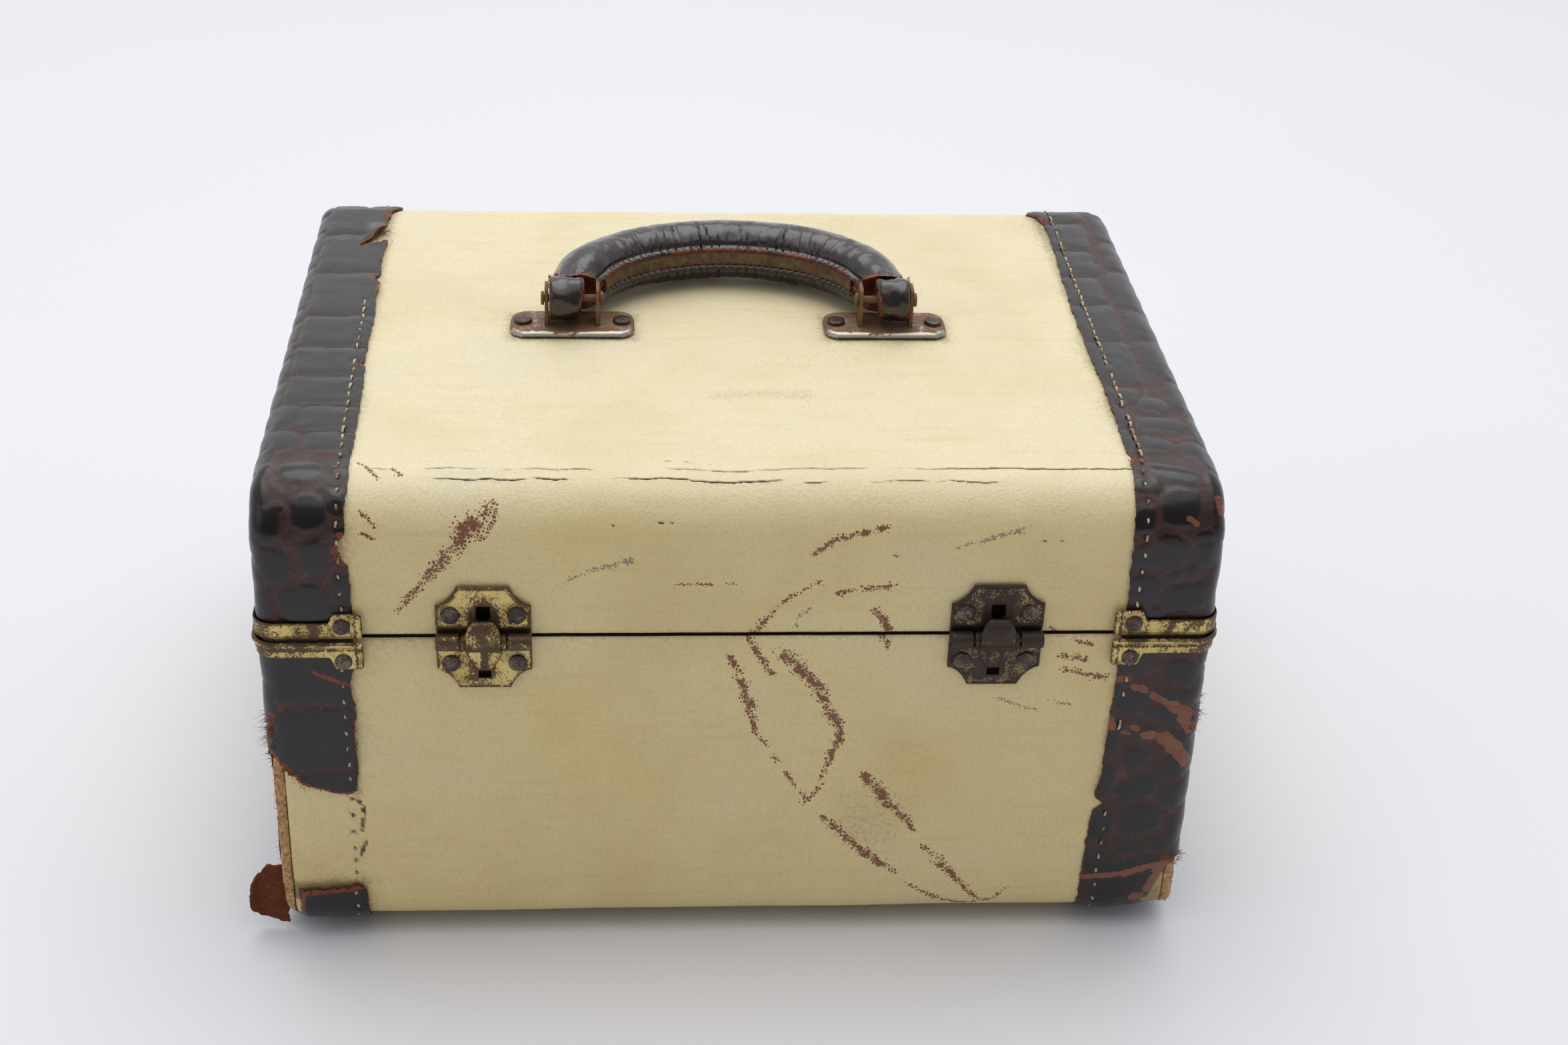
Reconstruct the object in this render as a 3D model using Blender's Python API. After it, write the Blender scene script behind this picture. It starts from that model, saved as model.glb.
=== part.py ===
"""A hard-sided train case: a plywood box in coated cloth with leather-bound ends.

Metres, +Z up, front towards -Y, origin on the floor under the middle of the case.
The lid turns on two hinges at the back, the handle lies back on the lid, and a
hinged hasp at each side of the front snaps over a strike on the lid.
"""

import math

import bmesh
import bpy
from mathutils import Matrix, Vector

# --- Driving dimensions -------------------------------------------------------
CASE_WIDTH = 0.330  # over the leather on the two ends
CASE_DEPTH = 0.263  # over the leather, front to back
CASE_HEIGHT = 0.1815  # over the leather, without the feet
FOOT_HEIGHT = 0.005
LID_EDGE = 0.1314  # the lid's lower edge
BASE_EDGE = 0.1300  # the base's upper edge
TOP_RADIUS = 0.0215  # long edges of the lid, over the leather
BOTTOM_RADIUS = 0.0120  # long edges of the base, over the leather
END_RADIUS = 0.0070  # edges between the ends and the wrapped faces

GAP = 0.0003  # between pieces that touch
LEATHER = 0.0012
CLOTH = 0.0008
PLYWOOD = 0.0050
LINING = 0.0012

BINDING_WIDTH = 0.031  # leather on each side of an end's edge
TORN_BACK = -0.1095  # how far round the end the leather has torn away

CLIP_THICKNESS = 0.0008
CLIP_STRIP = 0.0062  # its height away from the cut edge
CLIP_TAB = 0.0094  # its height where a rivet goes through
CLIP_INNER_X = 0.1288
CLIP_LEG = BINDING_WIDTH + 0.0052  # along the end, from the front

# --- Depths of each layer below the leather's outer surface -------------------
CLOTH_DEPTH = LEATHER + GAP
PLYWOOD_DEPTH = CLOTH_DEPTH + CLOTH + GAP
PLYWOOD_INNER = PLYWOOD_DEPTH + PLYWOOD
LINING_DEPTH = PLYWOOD_INNER + GAP
LINING_INNER = LINING_DEPTH + LINING
COLLAR_DEPTH = PLYWOOD_INNER + 0.0009  # stands clear of the lid as it closes
COLLAR_INNER = COLLAR_DEPTH + LINING
COLLAR_BOTTOM = BASE_EDGE - 0.0122
COLLAR_TOP = BASE_EDGE + 0.0070

# --- Places worked out from those ----------------------------------------------
CASE_TOP = FOOT_HEIGHT + CASE_HEIGHT
CLOTH_TOP = CASE_TOP - CLOTH_DEPTH
CLOTH_FRONT = -CASE_DEPTH / 2 + CLOTH_DEPTH
BINDING_EDGE = CASE_WIDTH / 2 - BINDING_WIDTH
SEAM = (LID_EDGE + BASE_EDGE) / 2
FAR = 0.5  # longer than anything here, for cutters

# Latches and hinges stand at the same two places across the case.
FITTING_X = 0.088
BARREL_RADIUS = 0.0030
LATCH_AXIS = Vector((0, CLOTH_FRONT - GAP - BARREL_RADIUS, SEAM - 0.0002))
HINGE_AXIS = Vector((0, -CLOTH_FRONT + GAP + BARREL_RADIUS, SEAM))

LATCH_HALF_WIDTH = 0.0162
LATCH_BOTTOM = 0.1106
LATCH_TOP = 0.1513
LATCH_SCOOP = 0.0074  # how much each hollow corner takes off
PLATE = 0.0012
HASP_HALF_WIDTH = 0.0061
HASP_RISE = 0.0100  # above its barrel's middle
HASP_BARREL_HALF = 0.0077
LATCH_PIN_RADIUS = 0.0013
STRIKE_WINDOW = (0.1388, 0.1437)  # lowest and highest
SPRING_SLOT = (0.1148, 0.1178)
LATCH_FRONT = LATCH_AXIS.y + BARREL_RADIUS - PLATE

HINGE_HALF_WIDTH = 0.0190
HINGE_REACH = 0.0190  # from the barrel's middle to a leaf's far edge
HINGE_SHEET = 0.0010
HINGE_MIDDLE = 0.0062  # half the middle knuckle
HINGE_PIN_RADIUS = 0.0012

HANDLE_X = 0.0592
HANDLE_Y = 0.0010
HANDLE_PIN_Z = CLOTH_TOP + 0.0122
HANDLE_RISE = 0.0470  # from the pins to the middle of the grip
HANDLE_RADIUS = 0.0113
HANDLE_CORE_RADIUS = 0.0020
HANDLE_PIN_RADIUS = 0.0015
HANDLE_END_RADIUS = 0.0085
EAR_X = 0.0096
EAR_THICKNESS = 0.0012
EAR_HALF_WIDTH = 0.0043
EAR_ABOVE_PIN = 0.0056
HANDLE_PLATE = Vector((0.0466, 0.0210, 0.0024))
HANDLE_RIVET_X = 0.0186
RIVET_RADIUS = 0.0015
RIVET_HOLE_RADIUS = RIVET_RADIUS + GAP

POCKET_BOTTOM = 0.0200
POCKET_TOP = 0.0950
POCKET_HALF_WIDTH = 0.1300
FOOT_X = 0.1465
FOOT_Y = 0.1080

MATERIALS = {
    "cloth": ((0.74, 0.66, 0.42), 0.55, 0.0),
    "leather": ((0.045, 0.022, 0.018), 0.35, 0.0),
    "plywood": ((0.50, 0.34, 0.18), 0.80, 0.0),
    "lining": ((0.62, 0.50, 0.36), 0.45, 0.0),
    "brass": ((0.55, 0.42, 0.16), 0.40, 1.0),
    "bronze": ((0.20, 0.14, 0.10), 0.45, 1.0),
    "steel": ((0.36, 0.30, 0.24), 0.40, 1.0),
    "mirror": ((0.90, 0.90, 0.90), 0.03, 1.0),
}


# --- Mesh helpers ---------------------------------------------------------------
def clear_scene():
    for thing in list(bpy.data.objects):
        bpy.data.objects.remove(thing)


def make_materials():
    for name, (colour, roughness, metallic) in MATERIALS.items():
        made = bpy.data.materials.new(name)
        made.use_nodes = True
        shader = made.node_tree.nodes["Principled BSDF"]
        shader.inputs["Base Color"].default_value = (*colour, 1.0)
        shader.inputs["Roughness"].default_value = roughness
        shader.inputs["Metallic"].default_value = metallic


def add_mesh(name, points, faces, material=None):
    """A new object from points and faces, with its faces turned outwards."""
    mesh = bpy.data.meshes.new(name)
    mesh.from_pydata([tuple(p) for p in points], [], faces)
    shape = bmesh.new()
    shape.from_mesh(mesh)
    bmesh.ops.recalc_face_normals(shape, faces=shape.faces)
    shape.to_mesh(mesh)
    shape.free()
    made = bpy.data.objects.new(name, mesh)
    bpy.context.scene.collection.objects.link(made)
    if material:
        mesh.materials.append(bpy.data.materials[material])
    return made


def loft(name, sections, material=None):
    """A solid skinned over rings of equal length, capped at both ends."""
    count = len(sections[0])
    points = [p for ring in sections for p in ring]
    faces = [list(range(count)), list(range(len(points) - count, len(points)))]
    for k in range(len(sections) - 1):
        for i in range(count):
            j = (i + 1) % count
            a, b = k * count, (k + 1) * count
            faces.append([a + i, a + j, b + j, b + i])
    return add_mesh(name, points, faces, material)


def extrude(name, outline, axis, low, high, material=None):
    """A prism: a flat outline in the two other axes, in X, Y, Z order, run along axis."""
    rings = []
    for place in (low, high):
        ring = []
        for u, v in outline:
            point = [u, v]
            point.insert("XYZ".index(axis), place)
            ring.append(Vector(point))
        rings.append(ring)
    return loft(name, rings, material)


def box(name, low, high, material=None):
    outline = [(low[0], low[1]), (high[0], low[1]), (high[0], high[1]), (low[0], high[1])]
    return extrude(name, outline, "Z", low[2], high[2], material)


def arc(centre_u, centre_v, radius, start, end, steps):
    """Points along a round stretch, with its angles in degrees."""
    found = []
    for k in range(steps + 1):
        angle = math.radians(start + (end - start) * k / steps)
        found.append((centre_u + radius * math.cos(angle), centre_v + radius * math.sin(angle)))
    return found


def rod(name, axis, centre, radius, length, sides=16, material=None):
    """A cylinder whose middle is at centre."""
    at = "XYZ".index(axis)
    u, v = [centre[k] for k in range(3) if k != at]
    outline = arc(u, v, radius, 0, 360, sides)[:-1]
    return extrude(name, outline, axis, centre[at] - length / 2, centre[at] + length / 2, material)


def combine(target, other, operation):
    """Applies one Boolean and removes the object it used."""
    cut = target.modifiers.new("combine", "BOOLEAN")
    cut.operation = operation
    cut.solver = "EXACT"
    cut.object = other
    graph = bpy.context.evaluated_depsgraph_get()
    made = bpy.data.meshes.new_from_object(target.evaluated_get(graph))
    target.modifiers.remove(cut)
    target.data = made
    bpy.data.objects.remove(other)
    return target


def subtract(target, other):
    return combine(target, other, "DIFFERENCE")


def join(target, other):
    return combine(target, other, "UNION")


def keep_inside(target, other):
    return combine(target, other, "INTERSECT")


def finish(part, material, sharp_above=35):
    """Gives a part its material and shades its round faces smooth."""
    part.data.materials.clear()
    part.data.materials.append(bpy.data.materials[material])
    part.data.shade_smooth()
    part.data.set_sharp_from_angle(angle=math.radians(sharp_above))
    return part


def mirrored(part, name):
    """A copy on the other side of the case, as its own object."""
    made = part.copy()
    made.data = part.data.copy()
    made.name = name
    made.data.transform(Matrix.Scale(-1, 4, Vector((1, 0, 0))))
    made.data.flip_normals()
    bpy.context.scene.collection.objects.link(made)
    return made


def set_origin(part, place):
    """Moves an object's origin onto a joint's axis and leaves its shape in place."""
    part.data.transform(Matrix.Translation(-Vector(place)))
    part.location = place


# --- The case's own shape ---------------------------------------------------------
def case_outline(depth):
    """The case's outline seen from an end, at a depth below the leather."""
    half, top, bottom = CASE_DEPTH / 2 - depth, CASE_TOP - depth, FOOT_HEIGHT + depth
    above, below = max(TOP_RADIUS - depth, 0.001), max(BOTTOM_RADIUS - depth, 0.001)
    return (
        arc(half - above, top - above, above, 0, 90, 5)
        + arc(above - half, top - above, above, 90, 180, 5)
        + arc(below - half, bottom + below, below, 180, 270, 4)
        + arc(half - below, bottom + below, below, 270, 360, 4)
    )


def case_solid(name, depth):
    """The whole closed case as one solid, at a depth below the leather."""
    rounding = max(END_RADIUS - depth, 0.0005)
    reach = CASE_WIDTH / 2 - depth - rounding
    turns = [math.radians(a) for a in (90, 60, 30, 0)]
    stations = [(-reach - rounding * math.sin(a), rounding * (1 - math.cos(a))) for a in turns]
    stations += [(-x, more) for x, more in reversed(stations)]
    rings = []
    for x, more in stations:
        rings.append([Vector((x, y, z)) for y, z in case_outline(depth + more)])
    return loft(name, rings)


def shell(name, outer, inner, low, high, material):
    """A wall of the case between two depths, and between two heights."""
    part = case_solid(name, outer)
    keep_inside(part, box("cutter", (-FAR, -FAR, low), (FAR, FAR, high)))
    subtract(part, case_solid("cutter", inner))
    return finish(part, material)


# --- The box, its cloth, lining and leather --------------------------------------------
def make_binding(name, low, high):
    """The leather round one end's edge: it lies on the wrapped faces and on the end."""
    part = shell(name, 0.0, LEATHER, low, high, "leather")
    keep_inside(part, box("cutter", (-FAR, -FAR, -FAR), (-BINDING_EDGE, FAR, FAR)))
    half = CASE_DEPTH / 2 - BINDING_WIDTH
    window_low = (-FAR, -half, FOOT_HEIGHT + BINDING_WIDTH)
    window_high = (-CASE_WIDTH / 2 + END_RADIUS, half, CASE_TOP - BINDING_WIDTH)
    subtract(part, box("cutter", window_low, window_high))
    return finish(part, "leather")


def make_box_layers():
    cloth_inner = CLOTH_DEPTH + CLOTH
    shell("base_shell", PLYWOOD_DEPTH, PLYWOOD_INNER, 0, BASE_EDGE, "plywood")
    shell("base_covering", CLOTH_DEPTH, cloth_inner, 0, BASE_EDGE, "cloth")
    lid_shell = shell("lid_shell", PLYWOOD_DEPTH, PLYWOOD_INNER, LID_EDGE, FAR, "plywood")
    lid_cloth = shell("lid_covering", CLOTH_DEPTH, cloth_inner, LID_EDGE, FAR, "cloth")
    shell("base_lining", LINING_DEPTH, LINING_INNER, 0, COLLAR_BOTTOM - GAP, "lining")
    shell("base_collar", COLLAR_DEPTH, COLLAR_INNER, COLLAR_BOTTOM, COLLAR_TOP, "lining")
    shell("lid_lining", LINING_DEPTH, LINING_INNER, COLLAR_TOP + 0.0016, FAR, "lining")
    for part, material in ((lid_shell, "plywood"), (lid_cloth, "cloth")):
        for x, y in handle_rivet_places():
            subtract(part, rod("cutter", "Z", (x, y, CLOTH_TOP), RIVET_HOLE_RADIUS, 0.020, 10))
        finish(part, material)


def make_bindings():
    lid = make_binding("lid_binding_left", LID_EDGE, FAR)
    mirrored(lid, "lid_binding_right")
    base = make_binding("base_binding_left", 0, BASE_EDGE)
    mirrored(base, "base_binding_right")
    # The left one has torn away from the front corner, low down.
    inside, middle = -BINDING_EDGE + 0.005, -BINDING_EDGE - 0.014
    torn = [(-FAR, 0.0220), (inside, 0.0250), (inside, 0.0650), (middle, 0.0680), (-FAR, 0.0790)]
    subtract(base, extrude("cutter", torn, "Y", -FAR, TORN_BACK))
    finish(base, "leather")


# --- Brass clips over the leather's cut ends ---------------------------------------------
def clip_path(depth):
    """The clip's plan, at a distance outside the leather, with how tall it is at each point."""
    x, y = -CASE_WIDTH / 2 - depth, -CASE_DEPTH / 2 - depth
    radius = END_RADIUS + depth
    tab = [CLIP_TAB * 0.93, CLIP_TAB, CLIP_TAB * 0.93]
    front = [(away - CLIP_INNER_X, y) for away in (0.0, -0.0057, -0.0100, -0.0122)]
    corner = arc(x + radius, y + radius, radius, 270, 180, 5)
    back = -CASE_DEPTH / 2 + CLIP_LEG
    side = [(x, back + away) for away in (-0.0122, -0.0100, -0.0057, 0.0)]
    heights = tab + [CLIP_STRIP] * (len(corner) + 2) + tab
    return list(zip(front + corner + side, heights))


def make_clip(name, edge, direction):
    """A clip along one cut edge. Its rivet tabs stand away from the edge, up or down."""
    rings = []
    for (near, height), (away, _) in zip(clip_path(GAP), clip_path(GAP + CLIP_THICKNESS)):
        top = edge + direction * height
        rings.append([Vector(p) for p in ((*near, edge), (*away, edge), (*away, top), (*near, top))])
    return finish(loft(name, rings), "brass")


def make_clips():
    for half, edge, direction in (("lid", LID_EDGE, 1), ("base", BASE_EDGE, -1)):
        front = make_clip(f"{half}_clip_front_left", edge, direction)
        mirrored(front, f"{half}_clip_front_right")
        rear = front.copy()
        rear.data = front.data.copy()
        rear.name = f"{half}_clip_rear_left"
        rear.data.transform(Matrix.Scale(-1, 4, Vector((0, 1, 0))))
        rear.data.flip_normals()
        bpy.context.scene.collection.objects.link(rear)
        mirrored(rear, f"{half}_clip_rear_right")


# --- Latches ---------------------------------------------------------------------------
def scooped(corner_x, corner_z, side_x, side_z):
    """A hollow corner of a latch plate, from its upright side to its level one."""
    out = 0.004
    centre_x, centre_z = corner_x + side_x * out, corner_z + side_z * out
    radius = math.hypot(out, out + LATCH_SCOOP)
    start = math.degrees(math.atan2(-side_z * (out + LATCH_SCOOP), -side_x * out))
    end = math.degrees(math.atan2(-side_z * out, -side_x * (out + LATCH_SCOOP)))
    if end - start > 180:
        end -= 360
    if start - end > 180:
        end += 360
    return arc(centre_x, centre_z, radius, start, end, 4)


def hasp_solid(name):
    """The hasp at the middle of the case: a barrel with a thumb-shaped cap above it."""
    y, z = LATCH_AXIS.y, LATCH_AXIS.z
    half, top, corner = HASP_HALF_WIDTH, z + HASP_RISE, 0.0042
    foot = z - 0.0008
    front_view = [(-half, foot), (half, foot)]
    front_view += arc(half - corner, top - corner, corner, 0, 90, 5)
    front_view += arc(corner - half, top - corner, corner, 90, 180, 5)
    side_view = [
        (y, foot),
        (y - 0.0028, foot),
        (y - 0.0046, z + 0.0014),
        (y - 0.0050, z + 0.0040),
        (y - 0.0046, z + 0.0066),
        (y - 0.0036, z + 0.0090),
        (y - 0.0026, top),
        (y - 0.0010, top),
        (y - 0.0010, z + 0.0020),
        (y, z + 0.0015),
    ]
    part = extrude(name, front_view, "Y", y - 0.010, y + 0.004)
    keep_inside(part, extrude("cutter", side_view, "X", -0.02, 0.02))
    join(part, rod("barrel", "X", LATCH_AXIS, BARREL_RADIUS, 2 * HASP_BARREL_HALF))
    return subtract(part, rod("cutter", "X", LATCH_AXIS, LATCH_PIN_RADIUS + GAP, 0.06, 12))


def lower_latch_plate(name):
    """Plate on the base: two barrel knuckles above, and a slot for the spring's foot."""
    wide, notch = LATCH_HALF_WIDTH, HASP_BARREL_HALF + 0.0004
    top, notch_foot = LATCH_AXIS.z - 0.0005, LATCH_AXIS.z - 0.0036
    outline = [(notch, notch_foot), (notch, top), (wide, top)]
    outline += scooped(wide, LATCH_BOTTOM, 1, -1)
    outline += reversed(scooped(-wide, LATCH_BOTTOM, -1, -1))
    outline += [(-wide, top), (-notch, top), (-notch, notch_foot)]
    part = extrude(name, outline, "Y", LATCH_FRONT, LATCH_FRONT + PLATE)
    for side in (-1, 1):
        middle = (side * (notch + wide) / 2, LATCH_AXIS.y, LATCH_AXIS.z)
        join(part, rod("knuckle", "X", middle, BARREL_RADIUS, wide - notch))
    subtract(part, rod("cutter", "X", LATCH_AXIS, LATCH_PIN_RADIUS + GAP, 0.06, 12))
    low, high = SPRING_SLOT
    return subtract(part, box("cutter", (-0.0022, -FAR, low), (0.0022, 0, high)))


def upper_latch_plate(name):
    """Plate on the lid: a square window, with the strike bent out of its lower edge."""
    wide, foot = LATCH_HALF_WIDTH, LATCH_AXIS.z + 0.0035
    outline = [(-wide, foot), (wide, foot)]
    outline += scooped(wide, LATCH_TOP, 1, 1)
    outline += reversed(scooped(-wide, LATCH_TOP, -1, 1))
    part = extrude(name, outline, "Y", LATCH_FRONT, LATCH_FRONT + PLATE)
    low, high = STRIKE_WINDOW
    subtract(part, box("cutter", (-0.00235, -FAR, low), (0.00235, 0, high)))
    inside, out = LATCH_FRONT + 0.0004, LATCH_FRONT - 0.0020
    hook = [(inside, low - 0.0028), (out, low - 0.0020), (out, low - 0.0010), (inside, low)]
    return join(part, extrude("strike", hook, "X", -0.0021, 0.0021))


def spring_leaf(name):
    """The tapered leaf spring under the hasp, with its foot at the plate's slot."""
    foot, top, front = SPRING_SLOT[1] + 0.0004, 0.1262, LATCH_FRONT - GAP
    outline = [(-0.0032, foot), (0.0032, foot), (0.0058, top), (-0.0058, top)]
    return extrude(name, outline, "Y", front - 0.0006, front)


def make_latches():
    kinds = (
        ("latch_plate_lower", lower_latch_plate, "bronze"),
        ("latch_plate_upper", upper_latch_plate, "bronze"),
        ("latch_spring", spring_leaf, "bronze"),
        ("hasp", hasp_solid, "bronze"),
    )
    for side, x in (("left", -FITTING_X), ("right", FITTING_X)):
        for kind, build, material in kinds:
            part = finish(build(f"{kind}_{side}"), material, 50)
            part.data.transform(Matrix.Translation((x, 0, 0)))
            if kind == "hasp":
                set_origin(part, (x, LATCH_AXIS.y, LATCH_AXIS.z))
        centre = (x, LATCH_AXIS.y, LATCH_AXIS.z)
        pin = rod(f"latch_pin_{side}", "X", centre, LATCH_PIN_RADIUS, 2 * LATCH_HALF_WIDTH, 12)
        finish(pin, "bronze")


# --- Hinges at the back ------------------------------------------------------------------
def hinge_leaf(name, knuckles, direction):
    """A leaf with clipped corners and its share of the barrel, up or down from the pin."""
    wide, clip = HINGE_HALF_WIDTH, 0.003
    axis_z, sheet_y = HINGE_AXIS.z, HINGE_AXIS.y - BARREL_RADIUS
    inner, outer = axis_z + direction * (BARREL_RADIUS + 0.0004), axis_z + direction * HINGE_REACH
    shoulder = outer - direction * clip
    outline = [(-wide, inner), (-wide, shoulder), (clip - wide, outer)]
    outline += [(wide - clip, outer), (wide, shoulder), (wide, inner)]
    part = extrude(name, outline, "Y", sheet_y, sheet_y + HINGE_SHEET)
    neck = sorted((axis_z, axis_z + direction * 0.0050))
    for low, high in knuckles:
        join(part, box("neck", (low, sheet_y, neck[0]), (high, sheet_y + HINGE_SHEET, neck[1])))
        centre = ((low + high) / 2, HINGE_AXIS.y, axis_z)
        join(part, rod("knuckle", "X", centre, BARREL_RADIUS, high - low, 14))
    return subtract(part, rod("cutter", "X", HINGE_AXIS, HINGE_PIN_RADIUS + GAP, 0.06, 12))


def make_hinges():
    wide, middle = HINGE_HALF_WIDTH, HINGE_MIDDLE
    base_knuckles = [(-wide, -middle - GAP), (middle + GAP, wide)]
    for side, x in (("left", -FITTING_X), ("right", FITTING_X)):
        base = hinge_leaf(f"hinge_leaf_base_{side}", base_knuckles, -1)
        lid = hinge_leaf(f"hinge_leaf_lid_{side}", [(-middle, middle)], 1)
        pin = rod(f"hinge_pin_{side}", "X", HINGE_AXIS, HINGE_PIN_RADIUS, 2 * wide, 12)
        for part in (base, lid, pin):
            finish(part, "brass", 50)
            part.data.transform(Matrix.Translation((x, 0, 0)))


# --- The handle --------------------------------------------------------------------------------
def handle_rivet_places():
    sides = (-HANDLE_X, HANDLE_X)
    return [(x + away, HANDLE_Y) for x in sides for away in (-HANDLE_RIVET_X, HANDLE_RIVET_X)]


def handle_line(start, steps):
    """The handle's centre line, half an ellipse, leaving out a stretch at each end."""
    first = math.asin(start / HANDLE_RISE)
    line = []
    for k in range(steps + 1):
        angle = first + (math.pi - 2 * first) * k / steps
        x, y = -HANDLE_X * math.cos(angle), HANDLE_Y + HANDLE_RISE * math.sin(angle)
        along = Vector((HANDLE_X * math.sin(angle), HANDLE_RISE * math.cos(angle), 0)).normalized()
        line.append((Vector((x, y, HANDLE_PIN_Z)), along))
    return line


def tube_rings(line, outline):
    """Copies of one outline, in a level line's own across and up directions."""
    rings = []
    for place, along in line:
        across = Vector((along.y, -along.x, 0))
        rings.append([place + across * u + Vector((0, 0, v)) for u, v in outline])
    return rings


def circle(radius, sides):
    return arc(0, 0, radius, 0, 360, sides)[:-1]


def grip_rings(line):
    """The grip's rings, flatter at each end, where it clears the plates."""
    rings = tube_rings(line, circle(HANDLE_RADIUS, 16))
    for k, (width, height) in enumerate(((0.0098, 0.0088), (0.0108, 0.0100), (0.0112, 0.0110))):
        outline = [(u * width, v * height) for u, v in circle(1.0, 16)]
        for at in (k, len(line) - 1 - k):
            rings[at] = tube_rings(line[at : at + 1], outline)[0]
    return rings


def make_handle_grip():
    """The stuffed leather grip, bored along its length for the steel core."""
    grip = loft("handle_grip", grip_rings(handle_line(HANDLE_END_RADIUS + 0.0026, 24)))
    bore = tube_rings(handle_line(HANDLE_END_RADIUS - 0.0040, 24), circle(HANDLE_CORE_RADIUS + 0.0004, 10))
    subtract(grip, loft("cutter", bore))
    finish(grip, "leather")
    set_origin(grip, (0, HANDLE_Y, HANDLE_PIN_Z))


def make_handle_welt():
    """The strip sewn along the inside of the grip's curve, over its closing seam."""
    near, half, thick = HANDLE_RADIUS + GAP, 0.0036, 0.0012
    outline = [(near, -half), (near + thick, -half), (near + thick, half), (near, half)]
    welt = loft("handle_welt", tube_rings(handle_line(0.0200, 20), outline))
    finish(welt, "leather")
    set_origin(welt, (0, HANDLE_Y, HANDLE_PIN_Z))


def make_handle_core():
    """The steel rod inside the grip, with an eye round each pin."""
    core = loft("handle_core", tube_rings(handle_line(0.0028, 24), circle(HANDLE_CORE_RADIUS, 10)))
    for x in (-HANDLE_X, HANDLE_X):
        place = (x, HANDLE_Y, HANDLE_PIN_Z)
        join(core, rod("eye", "X", place, 0.0038, 0.0060))
        subtract(core, rod("cutter", "X", place, HANDLE_PIN_RADIUS + GAP, 0.02, 12))
    finish(core, "steel")
    set_origin(core, (0, HANDLE_Y, HANDLE_PIN_Z))


def make_handle_end(side, place):
    """The leather loop that ties one end of the grip to its pin."""
    end = rod(f"handle_end_{side}", "X", place, HANDLE_END_RADIUS, 0.0125, 20)
    subtract(end, rod("cutter", "X", place, 0.0042, 0.03))
    channel = place + Vector((0, 0.010, 0))
    subtract(end, rod("cutter", "Y", channel, HANDLE_CORE_RADIUS + 0.0012, 0.018, 12))
    finish(end, "leather")
    set_origin(end, place)


def make_handle_pin(side, place):
    pin = rod(f"handle_pin_{side}", "X", place, HANDLE_PIN_RADIUS, 2 * EAR_X + 0.0030, 12)
    for way in (-1, 1):
        head = place + Vector((way * (EAR_X + 0.0015), 0, 0))
        join(pin, rod("head", "X", head, 0.0026, 0.0011, 12))
    finish(pin, "steel", 50)


def make_handle_lug(side, place):
    """Two ears and the strap between their feet, bent from one piece."""
    x, foot, top = place.x, CLOTH_TOP + GAP, place.z + EAR_ABOVE_PIN
    low, high = HANDLE_Y - EAR_HALF_WIDTH, HANDLE_Y + EAR_HALF_WIDTH
    corner = 0.0018
    ear = [(low, foot), (high, foot)]
    ear += arc(high - corner, top - corner, corner, 0, 90, 3)
    ear += arc(low + corner, top - corner, corner, 90, 180, 3)
    lug = box(f"handle_lug_{side}", (x - EAR_X, low, foot), (x + EAR_X, high, foot + 0.0010))
    for middle in (x - EAR_X, x + EAR_X):
        join(lug, extrude("ear", ear, "X", middle - EAR_THICKNESS / 2, middle + EAR_THICKNESS / 2))
    subtract(lug, rod("cutter", "X", place, HANDLE_PIN_RADIUS + GAP, 0.04, 12))
    finish(lug, "steel", 50)


def make_handle_plate(side, place):
    """The cover plate: it holds the lug down and takes the two rivets."""
    foot, half_x, half_y, corner = CLOTH_TOP + GAP, HANDLE_PLATE.x / 2, HANDLE_PLATE.y / 2, 0.0055
    rings = []
    for inset, rise in ((0, 0), (0, HANDLE_PLATE.z - 0.0009), (0.0009, HANDLE_PLATE.z)):
        ring = []
        for way_x, way_y, start in ((1, 1, 0), (-1, 1, 90), (-1, -1, 180), (1, -1, 270)):
            u, v = place.x + way_x * (half_x - corner), HANDLE_Y + way_y * (half_y - corner)
            ring += arc(u, v, corner - inset, start, start + 90, 3)
        rings.append([Vector((u, v, foot + rise)) for u, v in ring])
    plate = loft(f"handle_plate_{side}", rings)
    low, high = HANDLE_Y - EAR_HALF_WIDTH - GAP, HANDLE_Y + EAR_HALF_WIDTH + GAP
    hollow = ((place.x - EAR_X - 0.0010, low, 0), (place.x + EAR_X + 0.0010, high, foot + 0.0013))
    subtract(plate, box("cutter", *hollow))
    half_slot = EAR_THICKNESS / 2 + GAP
    for way in (-1, 1):
        middle = place.x + way * EAR_X
        subtract(plate, box("cutter", (middle - half_slot, low, 0), (middle + half_slot, high, FAR)))
        hole = (place.x + way * HANDLE_RIVET_X, HANDLE_Y, foot)
        subtract(plate, rod("cutter", "Z", hole, RIVET_HOLE_RADIUS, 0.02, 10))
    finish(plate, "steel", 50)


def make_handle_rivets():
    """Rivets through the plates, the cloth and the plywood, clinched above the lining."""
    names = ("left_outer", "left_inner", "right_inner", "right_outer")
    head = CLOTH_TOP + GAP + HANDLE_PLATE.z + 0.0002
    foot = CASE_TOP - PLYWOOD_INNER + 0.0002
    profile = (
        (RIVET_RADIUS, foot),
        (RIVET_RADIUS, head),
        (0.0033, head),
        (0.0031, head + 0.0006),
        (0.0018, head + 0.0011),
    )
    for name, (x, y) in zip(names, handle_rivet_places()):
        rings = []
        for radius, z in profile:
            rings.append([Vector((x + u, y + v, z)) for u, v in circle(radius, 12)])
        finish(loft(f"handle_rivet_{name}", rings), "steel", 50)


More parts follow.
